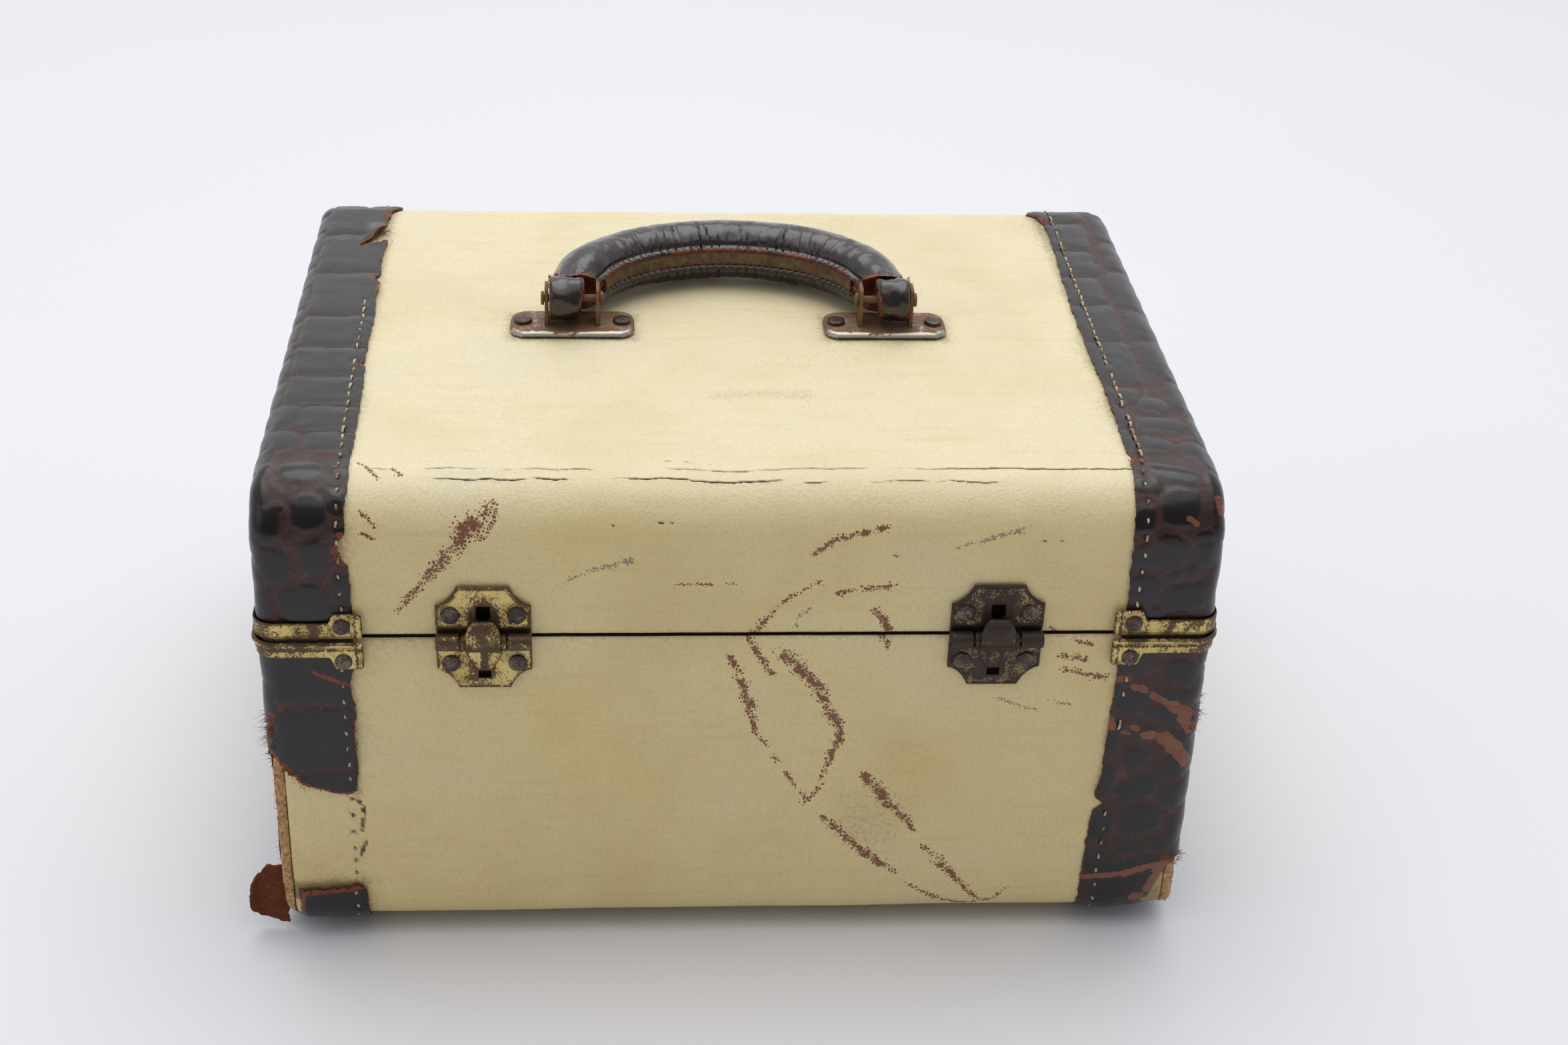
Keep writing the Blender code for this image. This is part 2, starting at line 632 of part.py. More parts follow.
def make_handle():
    make_handle_grip()
    make_handle_welt()
    make_handle_core()
    for side, x in (("left", -HANDLE_X), ("right", HANDLE_X)):
        place = Vector((x, HANDLE_Y, HANDLE_PIN_Z))
        make_handle_end(side, place)
        make_handle_pin(side, place)
        make_handle_lug(side, place)
        make_handle_plate(side, place)
    make_handle_rivets()


# --- Inside, and the feet ----------------------------------------------------------------------
def make_mirror():
    """A mirror under the lid, in a frame with a rebate for the glass."""
    roof = CASE_TOP - LINING_INNER - GAP
    half_x, half_y, thick = 0.110, 0.075, 0.0025
    edge, sight = 0.010, 0.006  # how far the frame runs past the glass, and over it
    glass_low = (-half_x, -half_y, roof - GAP - thick)
    glass = box("lid_mirror", glass_low, (half_x, half_y, roof - GAP))
    finish(glass, "mirror")
    frame_low = (-half_x - edge, -half_y - edge, roof - 0.0050)
    frame = box("mirror_frame", frame_low, (half_x + edge, half_y + edge, roof))
    rebate_x, rebate_y = half_x + GAP, half_y + GAP
    subtract(frame, box("cutter", (-rebate_x, -rebate_y, glass_low[2] - GAP), (rebate_x, rebate_y, FAR)))
    sight_x, sight_y = half_x - sight, half_y - sight
    subtract(frame, box("cutter", (-sight_x, -sight_y, 0), (sight_x, sight_y, FAR)))
    finish(frame, "leather")


def make_pocket():
    """The gathered pocket along the base's back wall, as a plain soft solid."""
    wall = CASE_DEPTH / 2 - LINING_INNER - GAP
    outline = [
        (wall, POCKET_BOTTOM),
        (wall, POCKET_TOP),
        (wall - 0.0050, POCKET_TOP),
        (wall - 0.0115, POCKET_TOP - 0.020),
        (wall - 0.0125, POCKET_TOP - 0.045),
        (wall - 0.0060, POCKET_BOTTOM),
    ]
    finish(extrude("rear_pocket", outline, "X", -POCKET_HALF_WIDTH, POCKET_HALF_WIDTH), "lining")


def make_feet():
    """Four domed glides nailed under the corners."""
    top = FOOT_HEIGHT - GAP
    profile = ((0.0030, 0.0), (0.0058, 0.0010), (0.0072, 0.0026), (0.0075, 0.0038), (0.0075, top))
    for end, y in (("front", -FOOT_Y), ("rear", FOOT_Y)):
        for side, x in (("left", -FOOT_X), ("right", FOOT_X)):
            rings = []
            for radius, z in profile:
                rings.append([Vector((x + u, y + v, z)) for u, v in circle(radius, 14)])
            finish(loft(f"foot_{end}_{side}", rings), "steel")


def main():
    clear_scene()
    make_materials()
    make_box_layers()
    make_bindings()
    make_clips()
    make_latches()
    make_hinges()
    make_handle()
    make_mirror()
    make_pocket()
    make_feet()


main()
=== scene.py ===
"""Looks of the makeup train case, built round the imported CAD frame.

Lengths are millimetres in the frame's axes (x right, y back, z up) until make() writes a mesh in metres.
A place on the case's wrapped faces is (t, s): s runs along the outline from the front seam to the back
seam, over the lid or under the base, and t runs across a leather binding from its inner side.
"""
import math
import random

import bmesh
import bpy
import numpy as np
from mathutils import Matrix, Vector


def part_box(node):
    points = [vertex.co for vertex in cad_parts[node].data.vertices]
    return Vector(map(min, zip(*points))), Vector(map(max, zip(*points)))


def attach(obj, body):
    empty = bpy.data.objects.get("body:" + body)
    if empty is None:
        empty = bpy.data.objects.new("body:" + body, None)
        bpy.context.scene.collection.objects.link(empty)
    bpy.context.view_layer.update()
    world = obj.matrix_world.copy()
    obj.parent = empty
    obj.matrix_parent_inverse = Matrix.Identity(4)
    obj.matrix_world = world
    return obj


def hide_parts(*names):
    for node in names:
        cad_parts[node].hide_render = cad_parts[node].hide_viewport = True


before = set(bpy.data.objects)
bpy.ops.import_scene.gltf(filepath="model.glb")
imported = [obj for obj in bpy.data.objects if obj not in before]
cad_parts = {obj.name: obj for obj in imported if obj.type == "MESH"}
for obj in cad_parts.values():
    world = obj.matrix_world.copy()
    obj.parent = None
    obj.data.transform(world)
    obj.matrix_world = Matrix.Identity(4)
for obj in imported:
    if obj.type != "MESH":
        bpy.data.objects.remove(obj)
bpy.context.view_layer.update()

# Where things are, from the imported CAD.
def box(node):
    """The node's lowest and highest corner, in millimetres."""
    return tuple(np.array(corner) * 1000 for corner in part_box(node))


BASE_LOW, BASE_HIGH = box("base_binding_right")
LID_LOW, LID_HIGH = box("lid_binding_right")
HALF_DEPTH, HALF_WIDTH = LID_HIGH[1], LID_HIGH[0]
STRIP_START = LID_LOW[0]
TOP_RADIUS, BOTTOM_RADIUS, END_RADIUS = 21.5, 12.0, 7.0
STRIP = HALF_WIDTH - END_RADIUS - STRIP_START
END_TURN = END_RADIUS * math.pi / 2
END_REACH = 24.0
STRIP_LENGTH = STRIP + END_TURN + END_REACH
CLOTH_INSET = HALF_DEPTH - box("lid_covering")[1][1]
END_RIM = 7.2
LEATHER = 1.15


# ---------------------------------------------------------------- numbers and fields
def value_noise(u, v, seed):
    """Smooth noise from -1 to 1, one cell per unit."""
    table = np.random.RandomState(seed).rand(64, 64)
    iu, iv = np.floor(u).astype(int), np.floor(v).astype(int)
    fu, fv = u - iu, v - iv
    fu, fv = fu * fu * (3 - 2 * fu), fv * fv * (3 - 2 * fv)
    low = table[iu % 64, iv % 64] * (1 - fu) + table[(iu + 1) % 64, iv % 64] * fu
    high = table[iu % 64, (iv + 1) % 64] * (1 - fu) + table[(iu + 1) % 64, (iv + 1) % 64] * fu
    return (low * (1 - fv) + high * fv) * 2 - 1


def fbm(u, v, seed, octaves=3):
    """Noise with finer and fainter layers added."""
    u, v = np.broadcast_arrays(np.asarray(u, float), np.asarray(v, float))
    return sum(value_noise(u * 2**k, v * 2**k, seed + k) / 2**k for k in range(octaves))


def smooth(low, high, value):
    """0 below low, 1 above high, and a smooth rise between."""
    x = np.clip((value - low) / (high - low), 0, 1)
    return x * x * (3 - 2 * x)


def line_distance(u, v, points):
    """Distance from each (u, v) to a polyline, and how far along it the nearest place is, 0 to 1."""
    best, along = np.full(np.shape(u), 1e9), np.zeros(np.shape(u))
    pieces = len(points) - 1
    for i, ((u0, v0), (u1, v1)) in enumerate(zip(points, points[1:])):
        du, dv = u1 - u0, v1 - v0
        f = np.clip(((u - u0) * du + (v - v0) * dv) / max(du * du + dv * dv, 1e-9), 0, 1)
        d = np.hypot(u - u0 - f * du, v - v0 - f * dv)
        along = np.where(d < best, (i + f) / pieces, along)
        best = np.minimum(best, d)
    return best, along


def inside_distance(u, v, polygon):
    """Distance to a closed polygon's edge, positive inside it."""
    closed = list(polygon) + [polygon[0]]
    distance = line_distance(u, v, closed)[0]
    inside = np.zeros(np.shape(u), bool)
    for (u0, v0), (u1, v1) in zip(closed, closed[1:]):
        if v0 != v1:
            crosses = (v0 > v) != (v1 > v)
            inside ^= crosses & (u < (u1 - u0) * (v - v0) / (v1 - v0) + u0)
    return np.where(inside, distance, -distance)


def spaced(*stretches):
    """Rising values from (start, end, step) stretches that follow each other."""
    parts = [np.linspace(a, b, max(1, round((b - a) / step)), endpoint=False) for a, b, step in stretches]
    return np.concatenate(parts + [[stretches[-1][1]]])


# ---------------------------------------------------------------- meshes
def make(name, verts, faces, materials, body, replaces=(), attributes=None, slots=None):
    """A smooth-shaded piece from vertices in millimetres."""
    mesh = bpy.data.meshes.new(name)
    mesh.from_pydata((np.asarray(verts, float) * 0.001).tolist(), [], [list(map(int, f)) for f in faces])
    for material in materials if isinstance(materials, (list, tuple)) else [materials]:
        mesh.materials.append(material)
    if slots is not None:
        mesh.polygons.foreach_set("material_index", np.asarray(slots, np.int32))
    for key, values in (attributes or {}).items():
        mesh.attributes.new(key, "FLOAT",
                            "POINT").data.foreach_set("value", np.asarray(values, np.float32).ravel())
    obj = bpy.data.objects.new(name, mesh)
    bpy.context.scene.collection.objects.link(obj)
    mesh.shade_smooth()
    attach(obj, body)
    if replaces:
        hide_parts(*replaces)
    return obj


def finish_mesh(obj, sharp=40):
    """Applies the modifiers, turns the faces outwards where the piece is closed and marks sharp edges."""
    bpy.context.view_layer.update()
    graph = bpy.context.evaluated_depsgraph_get()
    mesh = bpy.data.meshes.new_from_object(obj.evaluated_get(graph), preserve_all_data_layers=True,
                                           depsgraph=graph)
    obj.modifiers.clear()
    outward = bmesh.new()
    outward.from_mesh(mesh)
    bmesh.ops.recalc_face_normals(outward, faces=outward.faces)
    outward.to_mesh(mesh)
    outward.free()
    obj.data = mesh
    mesh.shade_smooth()
    mesh.set_sharp_from_angle(angle=math.radians(sharp))
    return obj


def solidify(obj, thickness, inner=0, rim=0, offset=-1.0):
    """Gives a surface its thickness, in millimetres."""
    modifier = obj.modifiers.new("thickness", "SOLIDIFY")
    modifier.thickness = thickness * 0.001
    modifier.offset = offset
    modifier.material_offset = inner
    modifier.material_offset_rim = rim
    return obj


def grid_faces(rows, columns, flip=False, wrap=False):
    """Quads of a grid of rows times columns vertices."""
    i, j = np.meshgrid(np.arange(rows - 1), np.arange(columns if wrap else columns - 1), indexing="ij")
    k = (j + 1) % columns
    quads = np.stack([i * columns + j, (i + 1) * columns + j, (i + 1) * columns + k, i * columns + k],
                     -1).reshape(-1, 4)
    return quads[:, ::-1] if flip else quads


def cut_away(verts, faces, value, attributes):
    """Keeps the part of a quad mesh where value is positive, cut along its zero line."""
    mesh = bmesh.new()
    names = list(attributes)
    layers = [mesh.verts.layers.float.new(n) for n in names]
    level = mesh.verts.layers.float.new("level")
    made = []
    for i, co in enumerate(verts):
        vert = mesh.verts.new(co)
        for layer, n in zip(layers, names):
            vert[layer] = attributes[n][i]
        vert[level] = value[i] if abs(value[i]) > 1e-6 else 1e-6
        made.append(vert)
    for f in faces:
        mesh.faces.new([made[i] for i in f])
    on_line = set()
    for edge in list(mesh.edges):
        a, b = edge.verts
        if a[level] * b[level] < 0:
            share = a[level] / (a[level] - b[level])
            mixed = [a[layer] * (1 - share) + b[layer] * share for layer in layers]
            place = a.co.lerp(b.co, share)
            _, vert = bmesh.utils.edge_split(edge, a, share)
            vert.co = place
            vert[level] = 0.0
            for layer, x in zip(layers, mixed):
                vert[layer] = x
            on_line.add(vert)
    for face in list(mesh.faces):
        ends = [v for v in face.verts if v in on_line]
        if len(ends) == 2:
            try:
                bmesh.utils.face_split(face, ends[0], ends[1])
            except ValueError:
                pass
        elif len(ends) == 4:
            bmesh.utils.face_split(face, ends[0], ends[1])
    gone = [f for f in mesh.faces if sum(v[level] for v in f.verts) < 0]
    bmesh.ops.delete(mesh, geom=gone, context="FACES")
    loose = [v for v in mesh.verts if not v.link_faces]
    bmesh.ops.delete(mesh, geom=loose, context="VERTS")
    mesh.verts.index_update()
    out = np.array([v.co[:] for v in mesh.verts])
    kept = {n: np.array([v[layer] for v in mesh.verts]) for n, layer in zip(names, layers)}
    cells = [[v.index for v in f.verts] for f in mesh.faces]
    mesh.free()
    return out, cells, kept


# ---------------------------------------------------------------- the case's outline
class Outline:
    """The rounded outline of the lid or base in the YZ plane, from the front seam to the back seam."""

    def __init__(self, seam, far, radius):
        self.seam, self.far, self.radius = seam, far, radius
        self.way = 1.0 if far > seam else -1.0
        self.rise = abs(far - seam) - radius
        self.turn = radius * math.pi / 2
        self.flat = 2 * (HALF_DEPTH - radius)
        self.length = 2 * (self.rise + self.turn) + self.flat

    def at(self, s, inset):
        """(y, z, outward y, outward z) at arc length s, measured on the outside, and depth inset."""
        s, inset = np.broadcast_arrays(np.asarray(s, float), np.asarray(inset, float))
        back = s > self.length / 2
        s = np.where(back, self.length - s, s)
        radius = np.maximum(self.radius - inset, 0.8)
        cy = -HALF_DEPTH + inset + radius
        cz = self.far - self.way * (inset + radius)
        angle = np.clip((s - self.rise) / self.turn, 0, 1) * math.pi / 2
        y = cy - radius * np.cos(angle)
        z = cz + self.way * radius * np.sin(angle)
        z = np.where(s < self.rise, self.seam + (cz - self.seam) * np.clip(s / self.rise, -1, 1), z)
        along = (s - self.rise - self.turn) / (self.flat / 2)
        y = np.where(along > 0, cy * (1 - along), y)
        sign = np.where(back, -1.0, 1.0)
        return y * sign, z, -np.cos(angle) * sign, np.sin(angle) * self.way


LID = Outline(LID_LOW[2], LID_HIGH[2], TOP_RADIUS)
BASE = Outline(BASE_HIGH[2], BASE_LOW[2], BOTTOM_RADIUS)


def on_cloth(outline, x, s, lift=0.0):
    """Points on the cloth wrap at x, s, and their normals."""
    x = np.asarray(x, float)
    y, z, ny, nz = outline.at(s, CLOTH_INSET)
    normal = np.stack([np.zeros_like(y), ny, nz], -1)
    point = np.stack([np.broadcast_to(x, y.shape), y, z], -1)
    return point + normal * np.asarray(lift)[..., None], normal


def on_strip(outline, side, t, s, lift=0.0):
    """Points on a leather binding at t, s, and their normals. side is -1 for the left one."""
    t, s = np.broadcast_arrays(np.asarray(t, float), np.asarray(s, float))
    angle = np.clip((t - STRIP) / END_TURN, 0, 1) * math.pi / 2
    beyond = np.maximum(t - STRIP - END_TURN, 0)
    x = STRIP_START + np.minimum(t, STRIP) + END_RADIUS * np.sin(angle)
    inset = END_RADIUS * (1 - np.cos(angle)) + beyond
    y, z, ny, nz = outline.at(s, inset)
    normal = np.stack([side * np.sin(angle), ny * np.cos(angle), nz * np.cos(angle)], -1)
    return np.stack([side * x, y, z], -1) + normal * np.asarray(lift)[..., None], normal


# ---------------------------------------------------------------- materials
def srgb(red, green, blue):
    """A colour picked in 0-255 sRGB, as linear RGBA."""
    return tuple(c / 255 / 12.92 if c <= 10 else ((c / 255 + 0.055) / 1.055) ** 2.4
                 for c in (red, green, blue)) + (1.0,)


class Material:
    """A Principled material with short calls for its procedural nodes. Texture space is in millimetres."""

    def __init__(self, name, **sockets):
        self.data = bpy.data.materials.new(name)
        self.data.use_nodes = True
        self.tree = self.data.node_tree
        self.shader = self.tree.nodes["Principled BSDF"]
        for socket, value in sockets.items():
            self.shader.inputs[socket.replace("_", " ")].default_value = value
        coordinates = self.tree.nodes.new("ShaderNodeTexCoord").outputs["Object"]
        self.place = self.node("VectorMath", {0: coordinates, 1: (1000, 1000, 1000)},
                               operation="MULTIPLY").outputs[0]

    def node(self, kind, inputs=None, **settings):
        made = self.tree.nodes.new("ShaderNode" + kind)
        for key, value in settings.items():
            setattr(made, key, value)
        for key, value in (inputs or {}).items():
            if isinstance(value, bpy.types.NodeSocket):
                self.tree.links.new(value, made.inputs[key])
            else:
                made.inputs[key].default_value = value
        return made

    def attribute(self, name):
        return self.node("Attribute", attribute_name=name).outputs["Fac"]

    def stretched(self, x, y, z):
        """The texture space scaled on each axis."""
        return self.node("VectorMath", {0: self.place, 1: (x, y, z)}, operation="MULTIPLY").outputs[0]

    def noise(self, size, detail=3.0, rough=0.55, distortion=0.0, vector=None):
        """Noise whose features are about size millimetres across."""
        inputs = {"Vector": vector or self.place, "Scale": 1 / size, "Detail": detail}
        inputs.update({"Roughness": rough, "Distortion": distortion})
        return self.node("TexNoise", inputs).outputs["Fac"]

    def cells(self, size, feature="F1", vector=None, output="Distance", smoothness=None):
        inputs = {"Vector": vector or self.place, "Scale": 1 / size}
        if smoothness is not None:
            inputs["Smoothness"] = smoothness
        return self.node("TexVoronoi", inputs, feature=feature).outputs[output]

    def math(self, operation, a, b=0.0, clamp=False):
        return self.node("Math", {0: a, 1: b}, operation=operation, use_clamp=clamp).outputs[0]

    def span(self, value, low, high, to_low=0.0, to_high=1.0):
        """value mapped from low..high to to_low..to_high, held at the ends."""
        inputs = {"Value": value, "From Min": low, "From Max": high, "To Min": to_low, "To Max": to_high}
        return self.node("MapRange", inputs, interpolation_type="SMOOTHSTEP").outputs["Result"]

    def ramp(self, value, *stops):
        made = self.node("ValToRGB", {"Fac": value})
        elements = made.color_ramp.elements
        while len(elements) < len(stops):
            elements.new(0.5)
        for element, (position, colour) in zip(elements, stops):
            element.position, element.color = position, colour
        return made.outputs["Color"]

    def mix(self, share, a, b, blend="MIX"):
        made = self.node("Mix", data_type="RGBA", blend_type=blend, clamp_factor=True)
        for socket, value in zip((made.inputs[0], made.inputs[6], made.inputs[7]), (share, a, b)):
            if isinstance(value, bpy.types.NodeSocket):
                self.tree.links.new(value, socket)
            else:
                socket.default_value = value
        return made.outputs[2]

    def bump(self, height, distance, normal=None):
        """A bump of that many millimetres."""
        inputs = {"Height": height, "Distance": distance * 0.001, "Strength": 1.0}
        if normal is not None:
            inputs["Normal"] = normal
        return self.node("Bump", inputs).outputs["Normal"]

    def set(self, **links):
        for socket, value in links.items():
            self.tree.links.new(value, self.shader.inputs[socket.replace("_", " ")])
        return self.data


def cream_cloth():
    """Coated cloth: fine pebble grain, yellowed patches, rust-red and grey rub marks, grime, cracks and
    painted shade.
    """
    m = Material("cream_coated_cloth", Specular_IOR_Level=0.42, Sheen_Weight=0.0)
    patches = m.noise(60, 4)
    base = m.ramp(patches, (0.32, srgb(231, 217, 178)), (0.52, srgb(240, 227, 190)),
                  (0.7, srgb(236, 226, 196)))
    streaks = m.noise(5, 3, 0.6, vector=m.stretched(0.12, 1, 1))
    base = m.mix(m.span(streaks, 0.5, 0.75, 0, 0.35), base, srgb(222, 205, 160))
    pebbles = m.cells(0.95, "SMOOTH_F1", smoothness=0.6)
    fine = m.noise(0.5, 2)
    grain = m.math("ADD", m.math("MULTIPLY", pebbles, 1.0), m.math("MULTIPLY", fine, 0.45))
    base = m.mix(m.span(pebbles, 0.35, 0.75, 0, 0.16), base, srgb(196, 176, 126))
    speckle = m.noise(1.6, 4, 0.7)
    # grime darkens the cloth towards brown: grime, and painted shade at the seam and on the bared cloth by
    # the torn leather.
    grime = m.attribute("grime")
    dirt_and_shade = m.span(m.math("ADD", grime, m.math("MULTIPLY", m.math("SUBTRACT", speckle, 0.5), 0.9)), 0.15,
                  1.0)
    base = m.mix(m.math("MULTIPLY", dirt_and_shade, 0.75), base, srgb(120, 98, 60))
    specks = m.span(m.noise(3.2, 5, 0.75), 0.735, 0.76)
    base = m.mix(m.math("MULTIPLY", specks, 0.3), base, srgb(120, 96, 70))
    # Darker and yellower on the upright faces than on top: painted shade, with some yellowing of the
    # coating.
    base = m.mix(m.math("MULTIPLY", m.attribute("age"), 0.9), base, srgb(237, 227, 190), "MULTIPLY")
    flecks = m.math("MULTIPLY", m.cells(1.25, "DISTANCE_TO_EDGE"), 2.1)
    broken = m.math("ADD", m.math("MULTIPLY", m.math("SUBTRACT", m.noise(3.4, 4, 0.75, 0.5), 0.5), 2.3),
                    flecks)
    for name, colour, strength in (("mark", srgb(118, 62, 42), 0.94), ("grey", srgb(133, 122, 104), 0.85)):
        value = m.math("ADD", m.attribute(name), broken)
        here = m.math("MULTIPLY", m.span(value, 1.02, 1.12), m.span(m.attribute(name), 0.0, 0.1))
        base = m.mix(m.math("MULTIPLY", here, strength), base, colour)
    smudge = m.math("MULTIPLY", m.attribute("smudge"), m.span(m.noise(1.3, 4, 0.75), 0.38, 0.66))
    base = m.mix(smudge, base, srgb(190, 122, 88))
    crack = m.attribute("crack")
    base = m.mix(m.span(crack, 0.35, 0.8), base, srgb(58, 46, 30))
    rough = m.span(m.noise(25, 3), 0.3, 0.7, 0.42, 0.56)
    height = m.math("SUBTRACT", grain, m.math("MULTIPLY", crack, 1.5))
    return m.set(Base_Color=base, Roughness=rough, Normal=m.bump(height, 0.14))


def cloth_edge():
    """The raw fabric back and cut edge of the coated cloth."""
    m = Material("cloth_back", Roughness=0.9)
    weave = m.node("TexWave", {"Vector": m.place, "Scale": 0.55, "Distortion": 1.5, "Detail": 1.0},
                   bands_direction="DIAGONAL")
    colour = m.mix(weave.outputs["Fac"], srgb(190, 172, 130), srgb(222, 208, 170))
    return m.set(Base_Color=colour, Normal=m.bump(weave.outputs["Fac"], 0.12))


def brown_leather():
    """Embossed leather: dark smooth scales, red-brown dry valleys between them, brown scuffs and
    rust-red tears."""
    m = Material("embossed_leather", Specular_IOR_Level=0.4, Coat_Weight=0.22, Coat_Roughness=0.26)
    groove = m.attribute("groove")
    mottle = m.noise(9, 4)
    scale = m.ramp(mottle, (0.3, srgb(12, 6, 6)), (0.55, srgb(19, 11, 11)), (0.75, srgb(33, 19, 17)))
    valley = m.mix(m.noise(1.6, 4, 0.7), srgb(38, 20, 18), srgb(84, 42, 30))
    base = m.mix(m.math("MULTIPLY", groove, 0.8), scale, valley)
    veins = m.span(m.cells(13, "DISTANCE_TO_EDGE", vector=m.place), 0.0, 0.03, 1, 0)
    base = m.mix(m.math("MULTIPLY", m.math("MULTIPLY", veins, groove), 0.4), base, srgb(122, 64, 42))
    flaking = m.math("MULTIPLY", m.math("SUBTRACT", m.noise(2.2, 5, 0.72), 0.5), 1.7)
    scuff = m.attribute("scuff")
    rubbed = m.math("MULTIPLY", m.span(m.math("ADD", scuff, flaking), 0.42, 0.5), m.span(scuff, 0.0, 0.08))
    base = m.mix(m.math("MULTIPLY", rubbed, 0.9), base,
                 m.mix(m.noise(2.5, 3), srgb(112, 66, 42), srgb(148, 92, 60)))
    tear = m.attribute("tear")
    raw = m.math("MULTIPLY", m.span(m.math("ADD", tear, flaking), 0.4, 0.52), m.span(tear, 0.0, 0.1))
    base = m.mix(raw, base, m.mix(m.noise(0.8, 4, 0.7), srgb(84, 34, 18), srgb(152, 72, 38)))
    rough = m.span(m.noise(6, 4), 0.3, 0.7, 0.26, 0.36)
    rough = m.math("ADD", rough, m.math("MULTIPLY", m.math("ADD", m.math("MAXIMUM", rubbed, raw), groove),
                                        0.2))
    rough = m.math("ADD", rough, m.math("MULTIPLY", m.attribute("gloss"), -0.12), clamp=True)
    pores = m.math("MULTIPLY", m.cells(0.7, "SMOOTH_F1", smoothness=0.8), 0.25)
    wrinkles = m.math("MULTIPLY",
                      m.math("MULTIPLY", m.noise(1.1, 5, 0.7, 1.5), m.math("ADD", groove, 0.12)), 2.2)
    threads = m.math("MULTIPLY", m.noise(0.35, 3, 0.8),
                     m.math("MAXIMUM", raw, m.math("MULTIPLY", rubbed, 0.4)))
    height = m.math("ADD", m.math("ADD", pores, wrinkles), m.math("MULTIPLY", threads, 2.5))
    return m.set(Base_Color=base, Roughness=rough, Normal=m.bump(height, 0.11))


def raw_leather():
    """The rust-brown suede of a torn edge and of the leather's back."""
    m = Material("raw_leather", Roughness=0.92, Specular_IOR_Level=0.2)
    fibres = m.noise(0.5, 5, 0.8)
    colour = m.ramp(fibres, (0.3, srgb(60, 33, 21)), (0.5, srgb(106, 60, 36)), (0.72, srgb(166, 100, 60)))
    colour = m.mix(m.span(m.noise(6, 3), 0.45, 0.7, 0, 0.6), colour, srgb(94, 54, 34))
    return m.set(Base_Color=colour, Normal=m.bump(fibres, 0.35))


def handle_leather():
    """Glossy dark leather of the grip, with creases across it and reddish veins."""
    m = Material("handle_leather", Specular_IOR_Level=0.5, Coat_Weight=0.5, Coat_Roughness=0.1)
    mottle = m.noise(7, 4)
    base = m.ramp(mottle, (0.3, srgb(18, 10, 10)), (0.6, srgb(27, 15, 14)), (0.78, srgb(46, 24, 20)))
    veins = m.span(m.cells(17, "DISTANCE_TO_EDGE", vector=m.node(
        "VectorMath", {0: m.place,
                       1: m.node("TexNoise", {"Vector": m.place, "Scale": 0.15}).outputs["Color"],
                       2: (9, 9, 9)},
        operation="MULTIPLY_ADD").outputs[0]), 0.0, 0.035, 1, 0)
    base = m.mix(m.math("MULTIPLY", veins, m.span(m.noise(3, 4, 0.7), 0.42, 0.7)), base, srgb(126, 60, 38))
    # Darker in the creases and wrinkles: painted shade in the folds.
    crease = m.attribute("groove")
    base = m.mix(m.math("MULTIPLY", crease, 0.6), base, srgb(20, 9, 8))
    tear = m.attribute("tear")
    flaking = m.math("MULTIPLY", m.math("SUBTRACT", m.noise(1.4, 5, 0.72), 0.5), 1.6)
    raw = m.math("MULTIPLY", m.span(m.math("ADD", tear, flaking), 0.42, 0.52), m.span(tear, 0.0, 0.1))
    base = m.mix(raw, base, m.mix(m.noise(0.7, 4, 0.7), srgb(92, 38, 20), srgb(164, 82, 44)))
    rough = m.math("ADD", m.span(m.noise(4, 4), 0.3, 0.7, 0.14, 0.26), m.math("MULTIPLY", raw, 0.5))
    height = m.math("ADD", m.math("MULTIPLY", m.cells(0.8, "SMOOTH_F1", smoothness=0.8), 0.3),
                    m.math("MULTIPLY", m.noise(1.6, 5, 0.7, 1.0), 0.8))
    height = m.math("ADD", height, m.math("MULTIPLY", m.math("MULTIPLY", raw, m.noise(0.4, 3)), 3.0))
    return m.set(Base_Color=base, Roughness=rough, Normal=m.bump(height, 0.1))


def welt_leather():
    """The khaki welt strip let into the inside of the grip."""
    m = Material("welt_leather", Roughness=0.6, Specular_IOR_Level=0.4)
    base = m.ramp(m.noise(3, 4), (0.3, srgb(70, 56, 40)), (0.6, srgb(108, 90, 62)),
                  (0.8, srgb(132, 104, 70)))
    base = m.mix(m.attribute("groove"), base, srgb(122, 58, 38))
    return m.set(Base_Color=base, Normal=m.bump(m.noise(0.6, 4), 0.15))


def thread():
    """Cream cotton thread, twisted and a little dirty."""
    m = Material("cream_thread", Roughness=0.85, Sheen_Weight=0.2)
    twist = m.node("TexWave", {"Vector": m.place, "Scale": 1.1, "Distortion": 0.6},
                   bands_direction="DIAGONAL").outputs["Fac"]
    colour = m.mix(m.noise(3, 3), srgb(196, 174, 130), srgb(232, 218, 186))
    colour = m.mix(m.span(m.noise(7, 3), 0.42, 0.62, 0, 0.85), colour, srgb(146, 96, 58))
    return m.set(Base_Color=colour, Normal=m.bump(twist, 0.12))


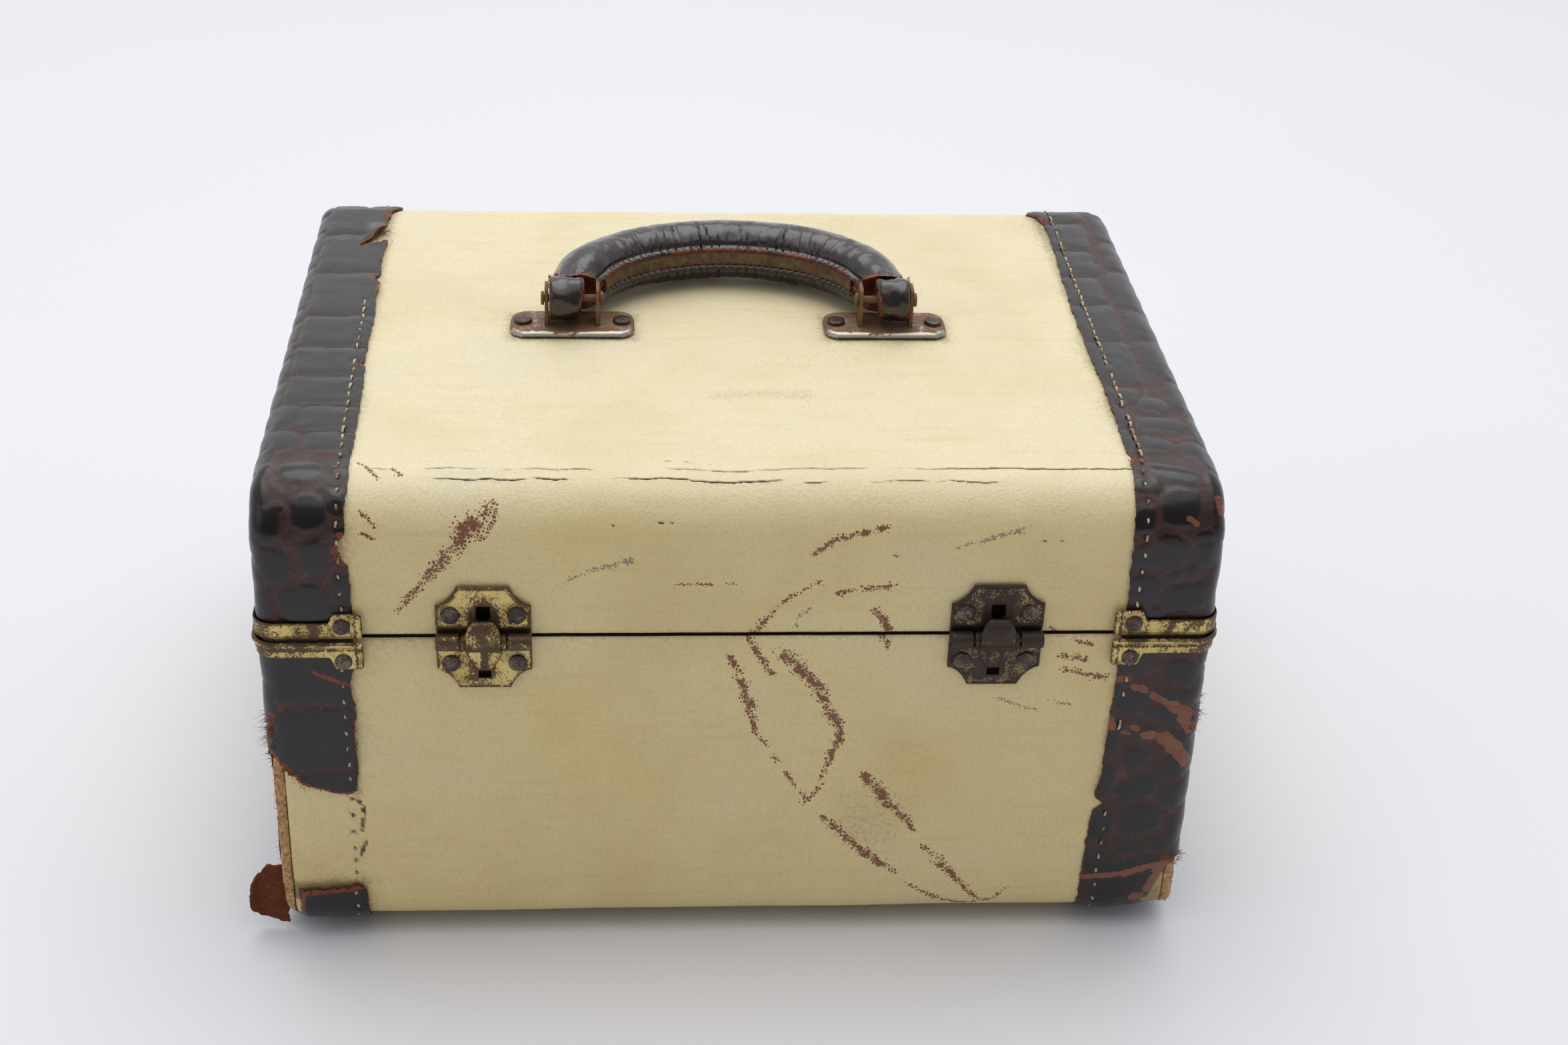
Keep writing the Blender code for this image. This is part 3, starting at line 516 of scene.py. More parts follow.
def worn_metal(name, bright, dull, dark, amount, rough=(0.24, 0.6), verdigris=None, size=1.0):
    """Plated metal: bright where it's rubbed, duller patches, dark speckle in the rest. amount is how
    dark it is."""
    m = Material(name)
    cloud = m.noise(4.5 * size, 5, 0.65)
    speck = m.noise(0.7 * size, 4, 0.75)
    lean = m.math("ADD", cloud, m.math("MULTIPLY", m.math("SUBTRACT", speck, 0.5), 1.35))
    # The dark attribute pushes towards tarnish; on the upper latch plates it also carries painted shade.
    lean = m.math("ADD", lean, m.math("MULTIPLY", m.attribute("dark"), 0.42))
    tarnish_and_shade = m.span(lean, 0.62 - amount, 0.74 - amount)
    base = m.mix(m.span(m.noise(9 * size, 3), 0.4, 0.65), bright, dull)
    base = m.mix(tarnish_and_shade, base, dark)
    metallic = m.span(tarnish_and_shade, 0, 1, 0.95, 0.5)
    if verdigris:
        green = m.math("MULTIPLY", m.attribute("green"), m.span(speck, 0.42, 0.6))
        base = m.mix(green, base, verdigris)
    roughness = m.math("ADD", m.span(tarnish_and_shade, 0, 1, rough[0], rough[1]),
                       m.span(speck, 0.3, 0.7, -0.05, 0.08))
    scratches = m.noise(0.5, 2, vector=m.stretched(0.15, 1, 1))
    height = m.math("ADD", m.math("MULTIPLY", speck, 0.6), m.math("MULTIPLY", scratches, 0.4))
    return m.set(Base_Color=base, Metallic=metallic, Roughness=roughness, Normal=m.bump(height, 0.06))


def rusted_metal(name, more):
    """Nickel plate gone brown with rust, bright where it's rubbed. more is how far the rust has gone."""
    m = Material(name)
    rust = m.math("ADD", m.math("ADD", m.noise(3.5, 5, 0.7), more),
                  m.math("MULTIPLY", m.attribute("dark"), 0.35))
    rust = m.math("SUBTRACT", rust, m.math("MULTIPLY", m.attribute("bright"), 0.4))
    share = m.span(rust, 0.36, 0.58)
    base = m.mix(share, srgb(176, 168, 152),
                 m.mix(m.noise(1.2, 4, 0.7), srgb(96, 70, 50), srgb(150, 112, 80)))
    rough = m.span(share, 0, 1, 0.26, 0.62)
    return m.set(Base_Color=base, Metallic=m.span(share, 0, 1, 0.95, 0.35), Roughness=rough,
                 Normal=m.bump(m.noise(0.6, 5, 0.75), 0.1))


def lining_cloth():
    """Plain woven lining in a warm tan, with a faint sheen."""
    m = Material("lining_cloth", Roughness=0.8, Sheen_Weight=0.35, Sheen_Roughness=0.5)
    across = m.node("TexWave", {"Vector": m.place, "Scale": 0.42, "Distortion": 0.8, "Detail": 1.0},
                    bands_direction="X").outputs["Fac"]
    down = m.node("TexWave", {"Vector": m.place, "Scale": 0.42, "Distortion": 0.8, "Detail": 1.0},
                  bands_direction="Z").outputs["Fac"]
    over = m.node("TexWave", {"Vector": m.place, "Scale": 0.42, "Distortion": 0.8, "Detail": 1.0},
                  bands_direction="Y").outputs["Fac"]
    weave = m.math("MAXIMUM", m.math("MULTIPLY", across, down),
                   m.math("MULTIPLY", over, m.math("MAXIMUM", across, down)))
    base = m.mix(m.noise(35, 4), srgb(168, 134, 100), srgb(190, 158, 122))
    base = m.mix(m.math("MULTIPLY", weave, 0.35), base, srgb(214, 188, 154))
    base = m.mix(m.span(m.noise(14, 5, 0.7), 0.6, 0.75, 0, 0.35), base, srgb(120, 88, 60))
    return m.set(Base_Color=base, Normal=m.bump(weave, 0.12))


def plywood():
    """Dark-stained plywood, seen only along the edges at the seam."""
    m = Material("stained_plywood", Roughness=0.8)
    grain = m.noise(2.2, 5, 0.65, 0.6, vector=m.stretched(0.06, 0.5, 1))
    plies = m.node("TexWave", {"Vector": m.place, "Scale": 0.2, "Distortion": 0.4},
                   bands_direction="Z").outputs["Fac"]
    base = m.ramp(grain, (0.3, srgb(46, 32, 20)), (0.6, srgb(64, 46, 30)), (0.8, srgb(88, 66, 44)))
    base = m.mix(m.math("MULTIPLY", plies, 0.3), base, srgb(36, 25, 16))
    return m.set(Base_Color=base, Normal=m.bump(grain, 0.1))


def fibreboard():
    """The rough torn edge of the end boards."""
    m = Material("torn_fibreboard", Roughness=0.95)
    chips = m.noise(1.3, 5, 0.8)
    base = m.ramp(chips, (0.32, srgb(84, 50, 28)), (0.46, srgb(186, 138, 88)), (0.62, srgb(226, 190, 142)),
                  (0.78, srgb(240, 214, 174)))
    return m.set(Base_Color=base, Normal=m.bump(chips, 0.5))


def mirror_glass():
    """An old mirror, slightly clouded towards its edge."""
    m = Material("old_mirror", Metallic=1.0)
    cloud = m.noise(18, 5, 0.7)
    base = m.ramp(cloud, (0.3, srgb(226, 230, 230)), (0.7, srgb(204, 210, 208)),
                  (0.82, srgb(150, 142, 120)))
    return m.set(Base_Color=base, Roughness=m.span(cloud, 0.4, 0.85, 0.02, 0.16))


def shadow_sheet_material():
    """A near-black speckled sheet: painted shade of the hollows behind the windows in the latches."""
    m = Material("painted_shadow_sheet", Roughness=0.95, Specular_IOR_Level=0.1)
    dust = m.noise(0.8, 4, 0.7)
    return m.set(Base_Color=m.mix(dust, srgb(9, 7, 6), srgb(24, 19, 15)), Normal=m.bump(dust, 0.1))


def pale_floor():
    """A plain pale studio floor."""
    m = Material("studio_floor", Roughness=0.8, Specular_IOR_Level=0.05)
    return m.set(Base_Color=m.mix(m.noise(400, 2), srgb(234, 234, 239), srgb(236, 236, 241)))


CLOTH, CLOTH_BACK, LEATHER_FACE, RAW = cream_cloth(), cloth_edge(), brown_leather(), raw_leather()
GRIP_LEATHER, WELT, THREAD, BOARD = handle_leather(), welt_leather(), thread(), fibreboard()
BRASS = worn_metal("worn_brass", srgb(200, 178, 116), srgb(168, 146, 88), srgb(88, 68, 46), 0.085,
                   (0.26, 0.44), verdigris=srgb(92, 140, 120))
BRONZE = worn_metal("dark_bronze", srgb(142, 122, 88), srgb(104, 88, 68), srgb(62, 50, 42), 0.22,
                    (0.3, 0.52))
RIVET = worn_metal("dark_rivet", srgb(112, 98, 82), srgb(92, 80, 70), srgb(64, 54, 50), 0.2, (0.3, 0.5))
RUSTY = rusted_metal("rusty_iron", 0.3)
NICKEL = rusted_metal("rusted_nickel", 0.06)
LINING, PLY, GLASS, PAINTED_SHADOW = lining_cloth(), plywood(), mirror_glass(), shadow_sheet_material()


# ---------------------------------------------------------------- camera, light and floor
CAMERA_LENS, CAMERA_SENSOR = 54.72, 36.0
CAMERA_PLACE = (-0.04404, -0.81892, 0.57365)
CAMERA_YAW, CAMERA_TILT, CAMERA_ROLL = -4.736, 60.054, 2.274
FLOOR_REACH = 12.0
# Each soft lamp: name, energy, size, place, aim.
LAMPS = (("overhead", 8, 1.5, (0.0, 0.55, 1.7), (0.0, 0.0, 0.0)),
         ("fill_left", 1.6, 1.2, (-1.5, -0.9, 1.0), (0.0, 0.0, 0.1)))


def make_camera():
    """The photograph's camera: in front, above and a little left of the case's middle."""
    data = bpy.data.cameras.new("camera")
    data.lens, data.sensor_width = CAMERA_LENS, CAMERA_SENSOR
    camera = bpy.data.objects.new("camera", data)
    bpy.context.scene.collection.objects.link(camera)
    yaw, tilt, roll = (math.radians(a) for a in (CAMERA_YAW, CAMERA_TILT, CAMERA_ROLL))
    turn = Matrix.Rotation(yaw, 4, "Z") @ Matrix.Rotation(tilt, 4, "X") @ Matrix.Rotation(roll, 4, "Z")
    camera.matrix_world = Matrix.Translation(CAMERA_PLACE) @ turn
    bpy.context.scene.camera = camera


def make_studio():
    """A pale floor under one wide soft light from above and behind, with even fill."""
    scene = bpy.context.scene
    scene.view_settings.view_transform = "Standard"
    world = bpy.data.worlds.new("studio")
    world.use_nodes = True
    nodes, links = world.node_tree.nodes, world.node_tree.links
    split = nodes.new("ShaderNodeSeparateXYZ")
    links.new(nodes.new("ShaderNodeTexCoord").outputs["Generated"], split.inputs[0])
    brighter_behind = nodes.new("ShaderNodeMapRange")
    for socket, value in zip(("From Min", "From Max", "To Min", "To Max"), (-1, 1, 0.2, 0.98)):
        brighter_behind.inputs[socket].default_value = value
    links.new(split.outputs["Y"], brighter_behind.inputs["Value"])
    links.new(brighter_behind.outputs["Result"], nodes["Background"].inputs["Strength"])
    nodes["Background"].inputs["Color"].default_value = (0.96, 0.97, 1.0, 1)
    scene.world = world
    for name, energy, size, place, aim in LAMPS:
        data = bpy.data.lights.new(name, "AREA")
        data.energy, data.size, data.shape = energy, size, "DISK"
        light = bpy.data.objects.new(name, data)
        light.location = place
        light.rotation_euler = (Vector(aim) - Vector(place)).to_track_quat("-Z", "Y").to_euler()
        scene.collection.objects.link(light)
    data = bpy.data.lights.new("sky", "SUN")
    data.energy, data.angle = 0.8, math.radians(70)
    light = bpy.data.objects.new("sky", data)
    light.rotation_euler = (math.radians(-4), 0, 0)
    scene.collection.objects.link(light)
    mesh = bpy.data.meshes.new("floor")
    reach = FLOOR_REACH
    mesh.from_pydata([(-reach, -reach, 0), (reach, -reach, 0), (reach, reach, 0), (-reach, reach, 0)], [],
                     [(0, 1, 2, 3)])
    mesh.materials.append(pale_floor())
    floor = bpy.data.objects.new("floor", mesh)
    scene.collection.objects.link(floor)


# ---------------------------------------------------------------- cloth covering
END_BOARD = (HALF_WIDTH - 5.4, HALF_WIDTH - 1.95)
WRAP_END = END_BOARD[0] - 0.3
# Stitch holes bared on the lower front left: their s, and how far they lie inside the leather's edge.
BARED_HOLES, HOLE_INSET = (67, 74.5, 81.5, 89, 94.5, 100), 2.5
# The end board's section as (x, inset): rounded where leather covers it, square where it is bare.
COVERED_SECTION = ((159.6, 7.0), (159.6, 1.75), (160.4, 2.05), (161.6, 2.85), (162.5, 3.9), (163.1, 5.2),
                   (163.3, 7.0))
BARED_SECTION = ((159.6, 7.0), (159.6, 1.9), (160.4, 1.35), (161.4, 1.5), (162.2, 1.3), (163.05, 1.9),
                 (163.05, 7.0))
GRAIN_STEP = 1.1

# Rubbed marks on the front: outline, (x, s) points, half width at the two ends, in millimetres.
LID_MARKS = (
    ("mark", ((-117, 10), (-112, 16), (-106, 23)), 1.6, 2.4),
    ("mark", ((-106, 23), (-100, 30), (-95, 37), (-91, 43)), 2.6, 4.6),
    ("mark", ((-93, 42), (-87, 47), (-84, 51)), 5.2, 2.2),
    ("mark", ((-84, 51), (-84, 44), (-88, 38)), 1.8, 1.6),
    ("mark", ((-129, 71), (-126, 67), (-122, 61)), 1.2, 1.0),
    ("mark", ((-118, 67), (-115, 63)), 1.0, 1.4),
    ("mark", ((-128, 48), (-125, 45), (-123, 42)), 0.9, 1.2),
    ("mark", ((-127, 40), (-123, 38)), 0.9, 1.0),
    ("grey", ((-62, 20), (-51, 26), (-38, 29)), 0.7, 1.5),
    ("mark", ((-23, 20), (-17, 20), (-11, 20)), 0.7, 0.9),
    ("mark", ((-5, 20), (-3, 20)), 0.9, 0.9),
    ("mark", ((50, 31), (53, 31)), 0.6, 0.8),
    ("mark", ((24, 32), (30, 37), (48, 42)), 1.8, 1.5),
    ("grey", ((72, 34), (84, 38), (97, 42)), 0.8, 1.3),
    ("mark", ((4, 0), (9, 7), (15, 14), (26, 21)), 1.6, 1.0),
    ("grey", ((18, 1), (19, 6), (23, 10)), 0.8, 0.8),
    ("mark", ((32, 16), (42, 18), (52, 19)), 1.1, 1.3),
    ("mark", ((46, 9), (49, 5), (51, 0)), 2.0, 2.4),
    ("mark", ((107, 2), (109, 0)), 1.0, 1.0),
)
BASE_MARKS = (
    ("mark", ((-4, 8), (-1, 14), (1, 21), (4, 30)), 1.4, 2.6),
    ("mark", ((4, 30), (5, 37), (7, 42), (11, 46)), 1.6, 1.2),
    ("mark", ((13, 51), (14, 53)), 2.0, 1.6),
    ("mark", ((17, 57), (20, 62), (21, 64)), 1.3, 1.0),
    ("mark", ((23, 67), (26, 70)), 1.6, 1.0),
    ("mark", ((2, 0), (6, 7), (11, 15)), 1.7, 1.6),
    ("mark", ((14, 7), (17, 9), (20, 13)), 2.6, 3.6),
    ("mark", ((20, 13), (26, 19), (30, 27)), 3.4, 3.0),
    ("mark", ((30, 27), (34, 35), (36, 42)), 2.8, 3.0),
    ("mark", ((36, 42), (33, 51), (30, 60)), 2.4, 1.3),
    ("mark", ((30, 63), (27, 68), (24, 71)), 1.5, 1.2),
    ("mark", ((49, 0), (51, 5)), 1.6, 1.2),
    ("mark", ((31, 77), (38, 84)), 1.7, 2.0),
    ("mark", ((38, 84), (46, 93), (53, 98)), 2.0, 2.8),
    ("mark", ((53, 98), (59, 103)), 1.8, 1.4),
    ("mark", ((65, 109), (71, 113), (85, 121)), 1.2, 1.8),
    ("mark", ((85, 121), (96, 117), (101, 110)), 1.6, 0.9),
    ("mark", ((46, 60), (50, 65), (54, 71)), 3.0, 3.2),
    ("mark", ((54, 71), (59, 76), (65, 84)), 2.4, 1.4),
    ("mark", ((68, 91), (72, 94)), 1.6, 1.4),
    ("mark", ((74, 97), (80, 104), (86, 111)), 2.6, 1.6),
    ("mark", ((86, 111), (91, 117)), 1.6, 1.2),
    ("mark", ((116, 2), (122, 4)), 1.4, 1.3),
    ("mark", ((111, 8), (120, 10)), 1.7, 1.9),
    ("mark", ((113, 14), (121, 16), (129, 18)), 1.3, 1.9),
    ("grey", ((91, 26), (98, 29), (106, 32)), 1.2, 0.8),
    ("grey", ((110, 28), (117, 29)), 0.9, 0.9),
)


def mark_values(x, s, marks, kind):
    """1 along the middle of each mark, falling to 0 at its edge."""
    value = np.zeros(x.shape)
    for name, points, start, end in marks:
        if name != kind:
            continue
        xs, ss = zip(*points)
        reach = 6 + max(start, end)
        near = (x > min(xs) - reach) & (x < max(xs) + reach) & (s > min(ss) - reach) & (s < max(ss) + reach)
        if near.any():
            distance, along = line_distance(x[near], s[near], points)
            width = start + (end - start) * along
            value[near] = np.maximum(value[near], np.clip(1.25 - 0.8 * distance / width, 0, 1))
    return value


def crack_field(x, s):
    """The split coating along the lid's front bend: 1 in a crack. Also returns how far its lip stands
    up."""
    wander = 1.1 * fbm(x / 34, s * 0, 11) + 0.35 * fbm(x / 5, s * 0, 12)
    crack, lip = np.zeros(x.shape), np.zeros(x.shape)
    for row, (place, start, end, width, seed) in enumerate((
        (66.8, -135, 135, 0.62, 21), (60.6, -112, 22, 0.42, 22), (59.0, 10, 96, 0.3, 23),
        (42.0, -70, 30, 0.16, 24),
        (36.5, 40, 118, 0.14, 25), (71.5, -40, 20, 0.12, 26),
    )):
        line = place + wander * (1 if row < 3 else 1.6) + 0.5 * fbm(x / 11, s * 0 + row, seed)
        gap = np.abs(s - line)
        strength = smooth(-0.55, 0.3, fbm(x / 16, s * 0 + row, seed + 9)) * smooth(start, start + 14,
                x) * smooth(end, end - 14, x)
        if row == 0:
            strength = np.maximum(strength * 0.75, smooth(30, 80, x) * 0.95)
        opening = width * (0.35 + 0.8 * strength)
        crack = np.maximum(crack, strength * smooth(opening, opening * 0.3, gap))
        lip = np.maximum(lip, strength * np.exp(-((gap / (width * 2.2)) ** 2)))
    return crack, lip


def cloth_wrap(name, outline, rows, body, marks, replaced):
    """The covering round one half of the case, with its marks as attributes for the material."""
    columns = spaced((-WRAP_END, -WRAP_END + 2, 0.4), (-WRAP_END + 2, WRAP_END - 2, GRAIN_STEP),
                     (WRAP_END - 2, WRAP_END, 0.4))
    s, x = np.meshgrid(rows, columns, indexing="ij")
    on_lid = outline is LID
    front = s < outline.length / 2
    lift = 0.16 * fbm(x / 40, s / 30, 31) + 0.05 * fbm(x / 7, s / 7, 32)
    crack = np.zeros(x.shape)
    if on_lid:
        crack, lip = crack_field(x, s)
        crack *= front
        lift += 0.22 * lip * front - 0.55 * crack
    seam = np.minimum(s, outline.length - s)
    lift -= 1.0 * np.clip((np.abs(x) - WRAP_END + 1.2) / 1.2, 0, 1) ** 2 + 0.7 * np.clip(1 - seam / 0.9, 0,
            1) ** 2
    # Darker towards the leather edges, and darker at the seam in painted shade.
    edge_darkening = np.exp(-np.maximum(STRIP_START + 0.5 - np.abs(x), 0) / 3.2) * 0.55
    edge_darkening = np.maximum(edge_darkening, 0.5 * np.exp(-seam / 2.2))
    worn = 0.2 * smooth(0.1, 0.9, fbm(x / 45, s / 38, 33)) if on_lid else 0.42 * smooth(-0.1, 0.9,
            fbm(x / 50, s / 40, 34))
    worn *= 1 if on_lid else 0.5 + 0.5 * smooth(20, 110, s)
    # age is full on the lid's upright faces and fades over its bends to none on top; on the base it is full
    # except by the seam.
    facing = np.clip(1.15 - smooth(outline.rise - 4, outline.rise + outline.turn, seam), 0,
                     1) if on_lid else 1 - 0.4 * (seam < 2)
    values = {"crack": crack, "grime": edge_darkening + worn,
              "age": facing * (0.9 + 0.1 * fbm(x / 60, s / 50, 35))}
    for kind in ("mark", "grey"):
        values[kind] = mark_values(x, s, marks, kind) * front
    if on_lid:
        smudge = 1 - line_distance(x, s, ((-6, 122), (10, 124), (25, 122)))[0] / 5
        around = np.zeros(x.shape)
        for plate in ("handle_plate_left", "handle_plate_right"):
            low, high = box(plate)
            y = s - outline.length / 2
            gap = np.hypot(np.maximum(np.maximum(low[0] - x, x - high[0]), 0),
                           np.maximum(np.maximum(low[1] - y, y - high[1]), 0))
            around = np.maximum(around, np.exp(-gap / 4.0) * 0.6)
        values["grime"] = np.maximum(values["grime"], around)
        values["smudge"] = np.clip(smudge, 0, 1) * 0.5
    else:
        x0 = -STRIP_START
        residue = 1 - line_distance(x, s, ((x0 - 1, 66), (x0 + 1.5, 71), (x0 + 0.7, 80), (x0 + 1.3, 87),
                                           (x0 - 0.2, 92)))[0] / 1.8
        values["crack"] = np.maximum(values["crack"], np.clip(residue * 1.6, 0, 1) * 0.75
                                     * smooth(-0.9, 0.1, fbm(x / 1.5, s / 2.2, 36)))
        for hole in BARED_HOLES:
            gap = np.hypot(x - (x0 - HOLE_INSET), s - hole)
            values["crack"] = np.maximum(values["crack"],
                                         smooth(1.1, 0.5, gap) * smooth(-1.5, 0.3, hole - s + 0.6))
            lift += 0.35 * np.exp(-((gap / 1.6) ** 2)) - 0.6 * np.exp(-((gap / 0.7) ** 2))
        bare = smooth(x0 + 0.6, x0 - 1.6, x)
        # shade: a painted shadow on the bared cloth, full from s 105.5 to 112 where the torn leather
        # begins, fading over a few millimetres above.
        shade = np.exp(-np.maximum(105.5 - s, 0) / (2.2 + 0.8 * fbm(x / 6, s / 6, 37)))
        beside = smooth(66, 71, s) * smooth(104, 98, s) * (x < x0 + 16)
        values["grime"] = values["grime"] * (1 - 0.75
                                             * np.maximum(bare, beside)) + 0.85 * shade * bare * (s < 112)
    points, _ = on_cloth(outline, x, s, lift)
    obj = make(name, points.reshape(-1, 3), grid_faces(len(rows), len(columns), flip=on_lid),
               [CLOTH, CLOTH_BACK],
               body, replaced, values)
    return finish_mesh(solidify(obj, 0.7, 1, 1))


def end_rim(outline, inset):
    """The outline of one half's end as a closed (y, z) polygon."""
    rows = spaced((0, outline.rise, 8), (outline.rise, outline.rise + outline.turn, 2))
    y, z, _, _ = outline.at(rows, inset)
    front = list(zip(y, z))
    return front + [(-y, z) for y, z in reversed(front)]


def cloth_end(name, outline, side, body):
    """The cloth on one end of one half, inside the frame of leather."""
    rim = end_rim(outline, END_RIM)
    ys, zs = (np.array(v) for v in zip(*rim))
    yy, zz = np.meshgrid(np.linspace(ys.min(), ys.max(), 132), np.linspace(zs.min(), zs.max(), 56),
                         indexing="ij")
    # Grime in patches, and painted shade next to the seam.
    grime = 0.3 * smooth(0, 0.8, fbm(yy / 30, zz / 25, 42)) + 0.5 * np.exp(-np.abs(zz - outline.seam) / 2.5)
    verts = np.stack([side * (HALF_WIDTH - 1.5 + 0.1 * fbm(yy / 30, zz / 30, 41)), yy, zz],
                     -1).reshape(-1, 3)
    level = inside_distance(yy, zz, rim).ravel() + 0.05
    # The end cloth takes the painted side shade and yellowing in full.
    kept, cells, values = cut_away(verts, grid_faces(*yy.shape, flip=side < 0), level,
                                   {"grime": grime.ravel(), "age": np.ones(grime.size)})
    obj = make(name, kept, cells, [CLOTH, CLOTH_BACK], body, attributes=values)
    return finish_mesh(solidify(obj, 0.4, 1, 1))


def end_board(name, outline, side, body, rows):
    """The fibreboard edge behind the leather: a rough band round the end, square where the leather is
    torn away."""
    s = rows[:, None]
    if outline is LID:
        bare = np.zeros(s.shape)
    elif side < 0:
        bare = smooth(50, 57, s) * smooth(109, 104, s)
    else:
        bare = smooth(96, 104, s) * smooth(132, 122, s)
    x, inset = (np.array(a)[None, :] * (1 - bare) + np.array(b)[None, :] * bare
                for a, b in zip(zip(*COVERED_SECTION), zip(*BARED_SECTION)))
    rough = (0.45 * fbm(s / 1.1 + 7, x * 3.1, 51) + 0.3 * fbm(s / 3.0, x, 52)) * (inset < 5) * bare
    y, z, _, _ = outline.at(s, inset + 0.45 * bare - rough)
    wide = x + 0.2 * fbm(s / 1.3, inset * 2, 53) * bare * (inset < 5) * np.sign(x - np.mean(END_BOARD))
    verts = np.stack([side * wide, y, z], -1).reshape(-1, 3)
    count = len(COVERED_SECTION)
    faces = [list(map(int, q)) for q in grid_faces(len(rows), count, wrap=True)]
    last = (len(rows) - 1) * count
    faces += [list(range(count)), list(range(last, last + count))]
    return finish_mesh(make(name, verts, faces, BOARD, body), 60)


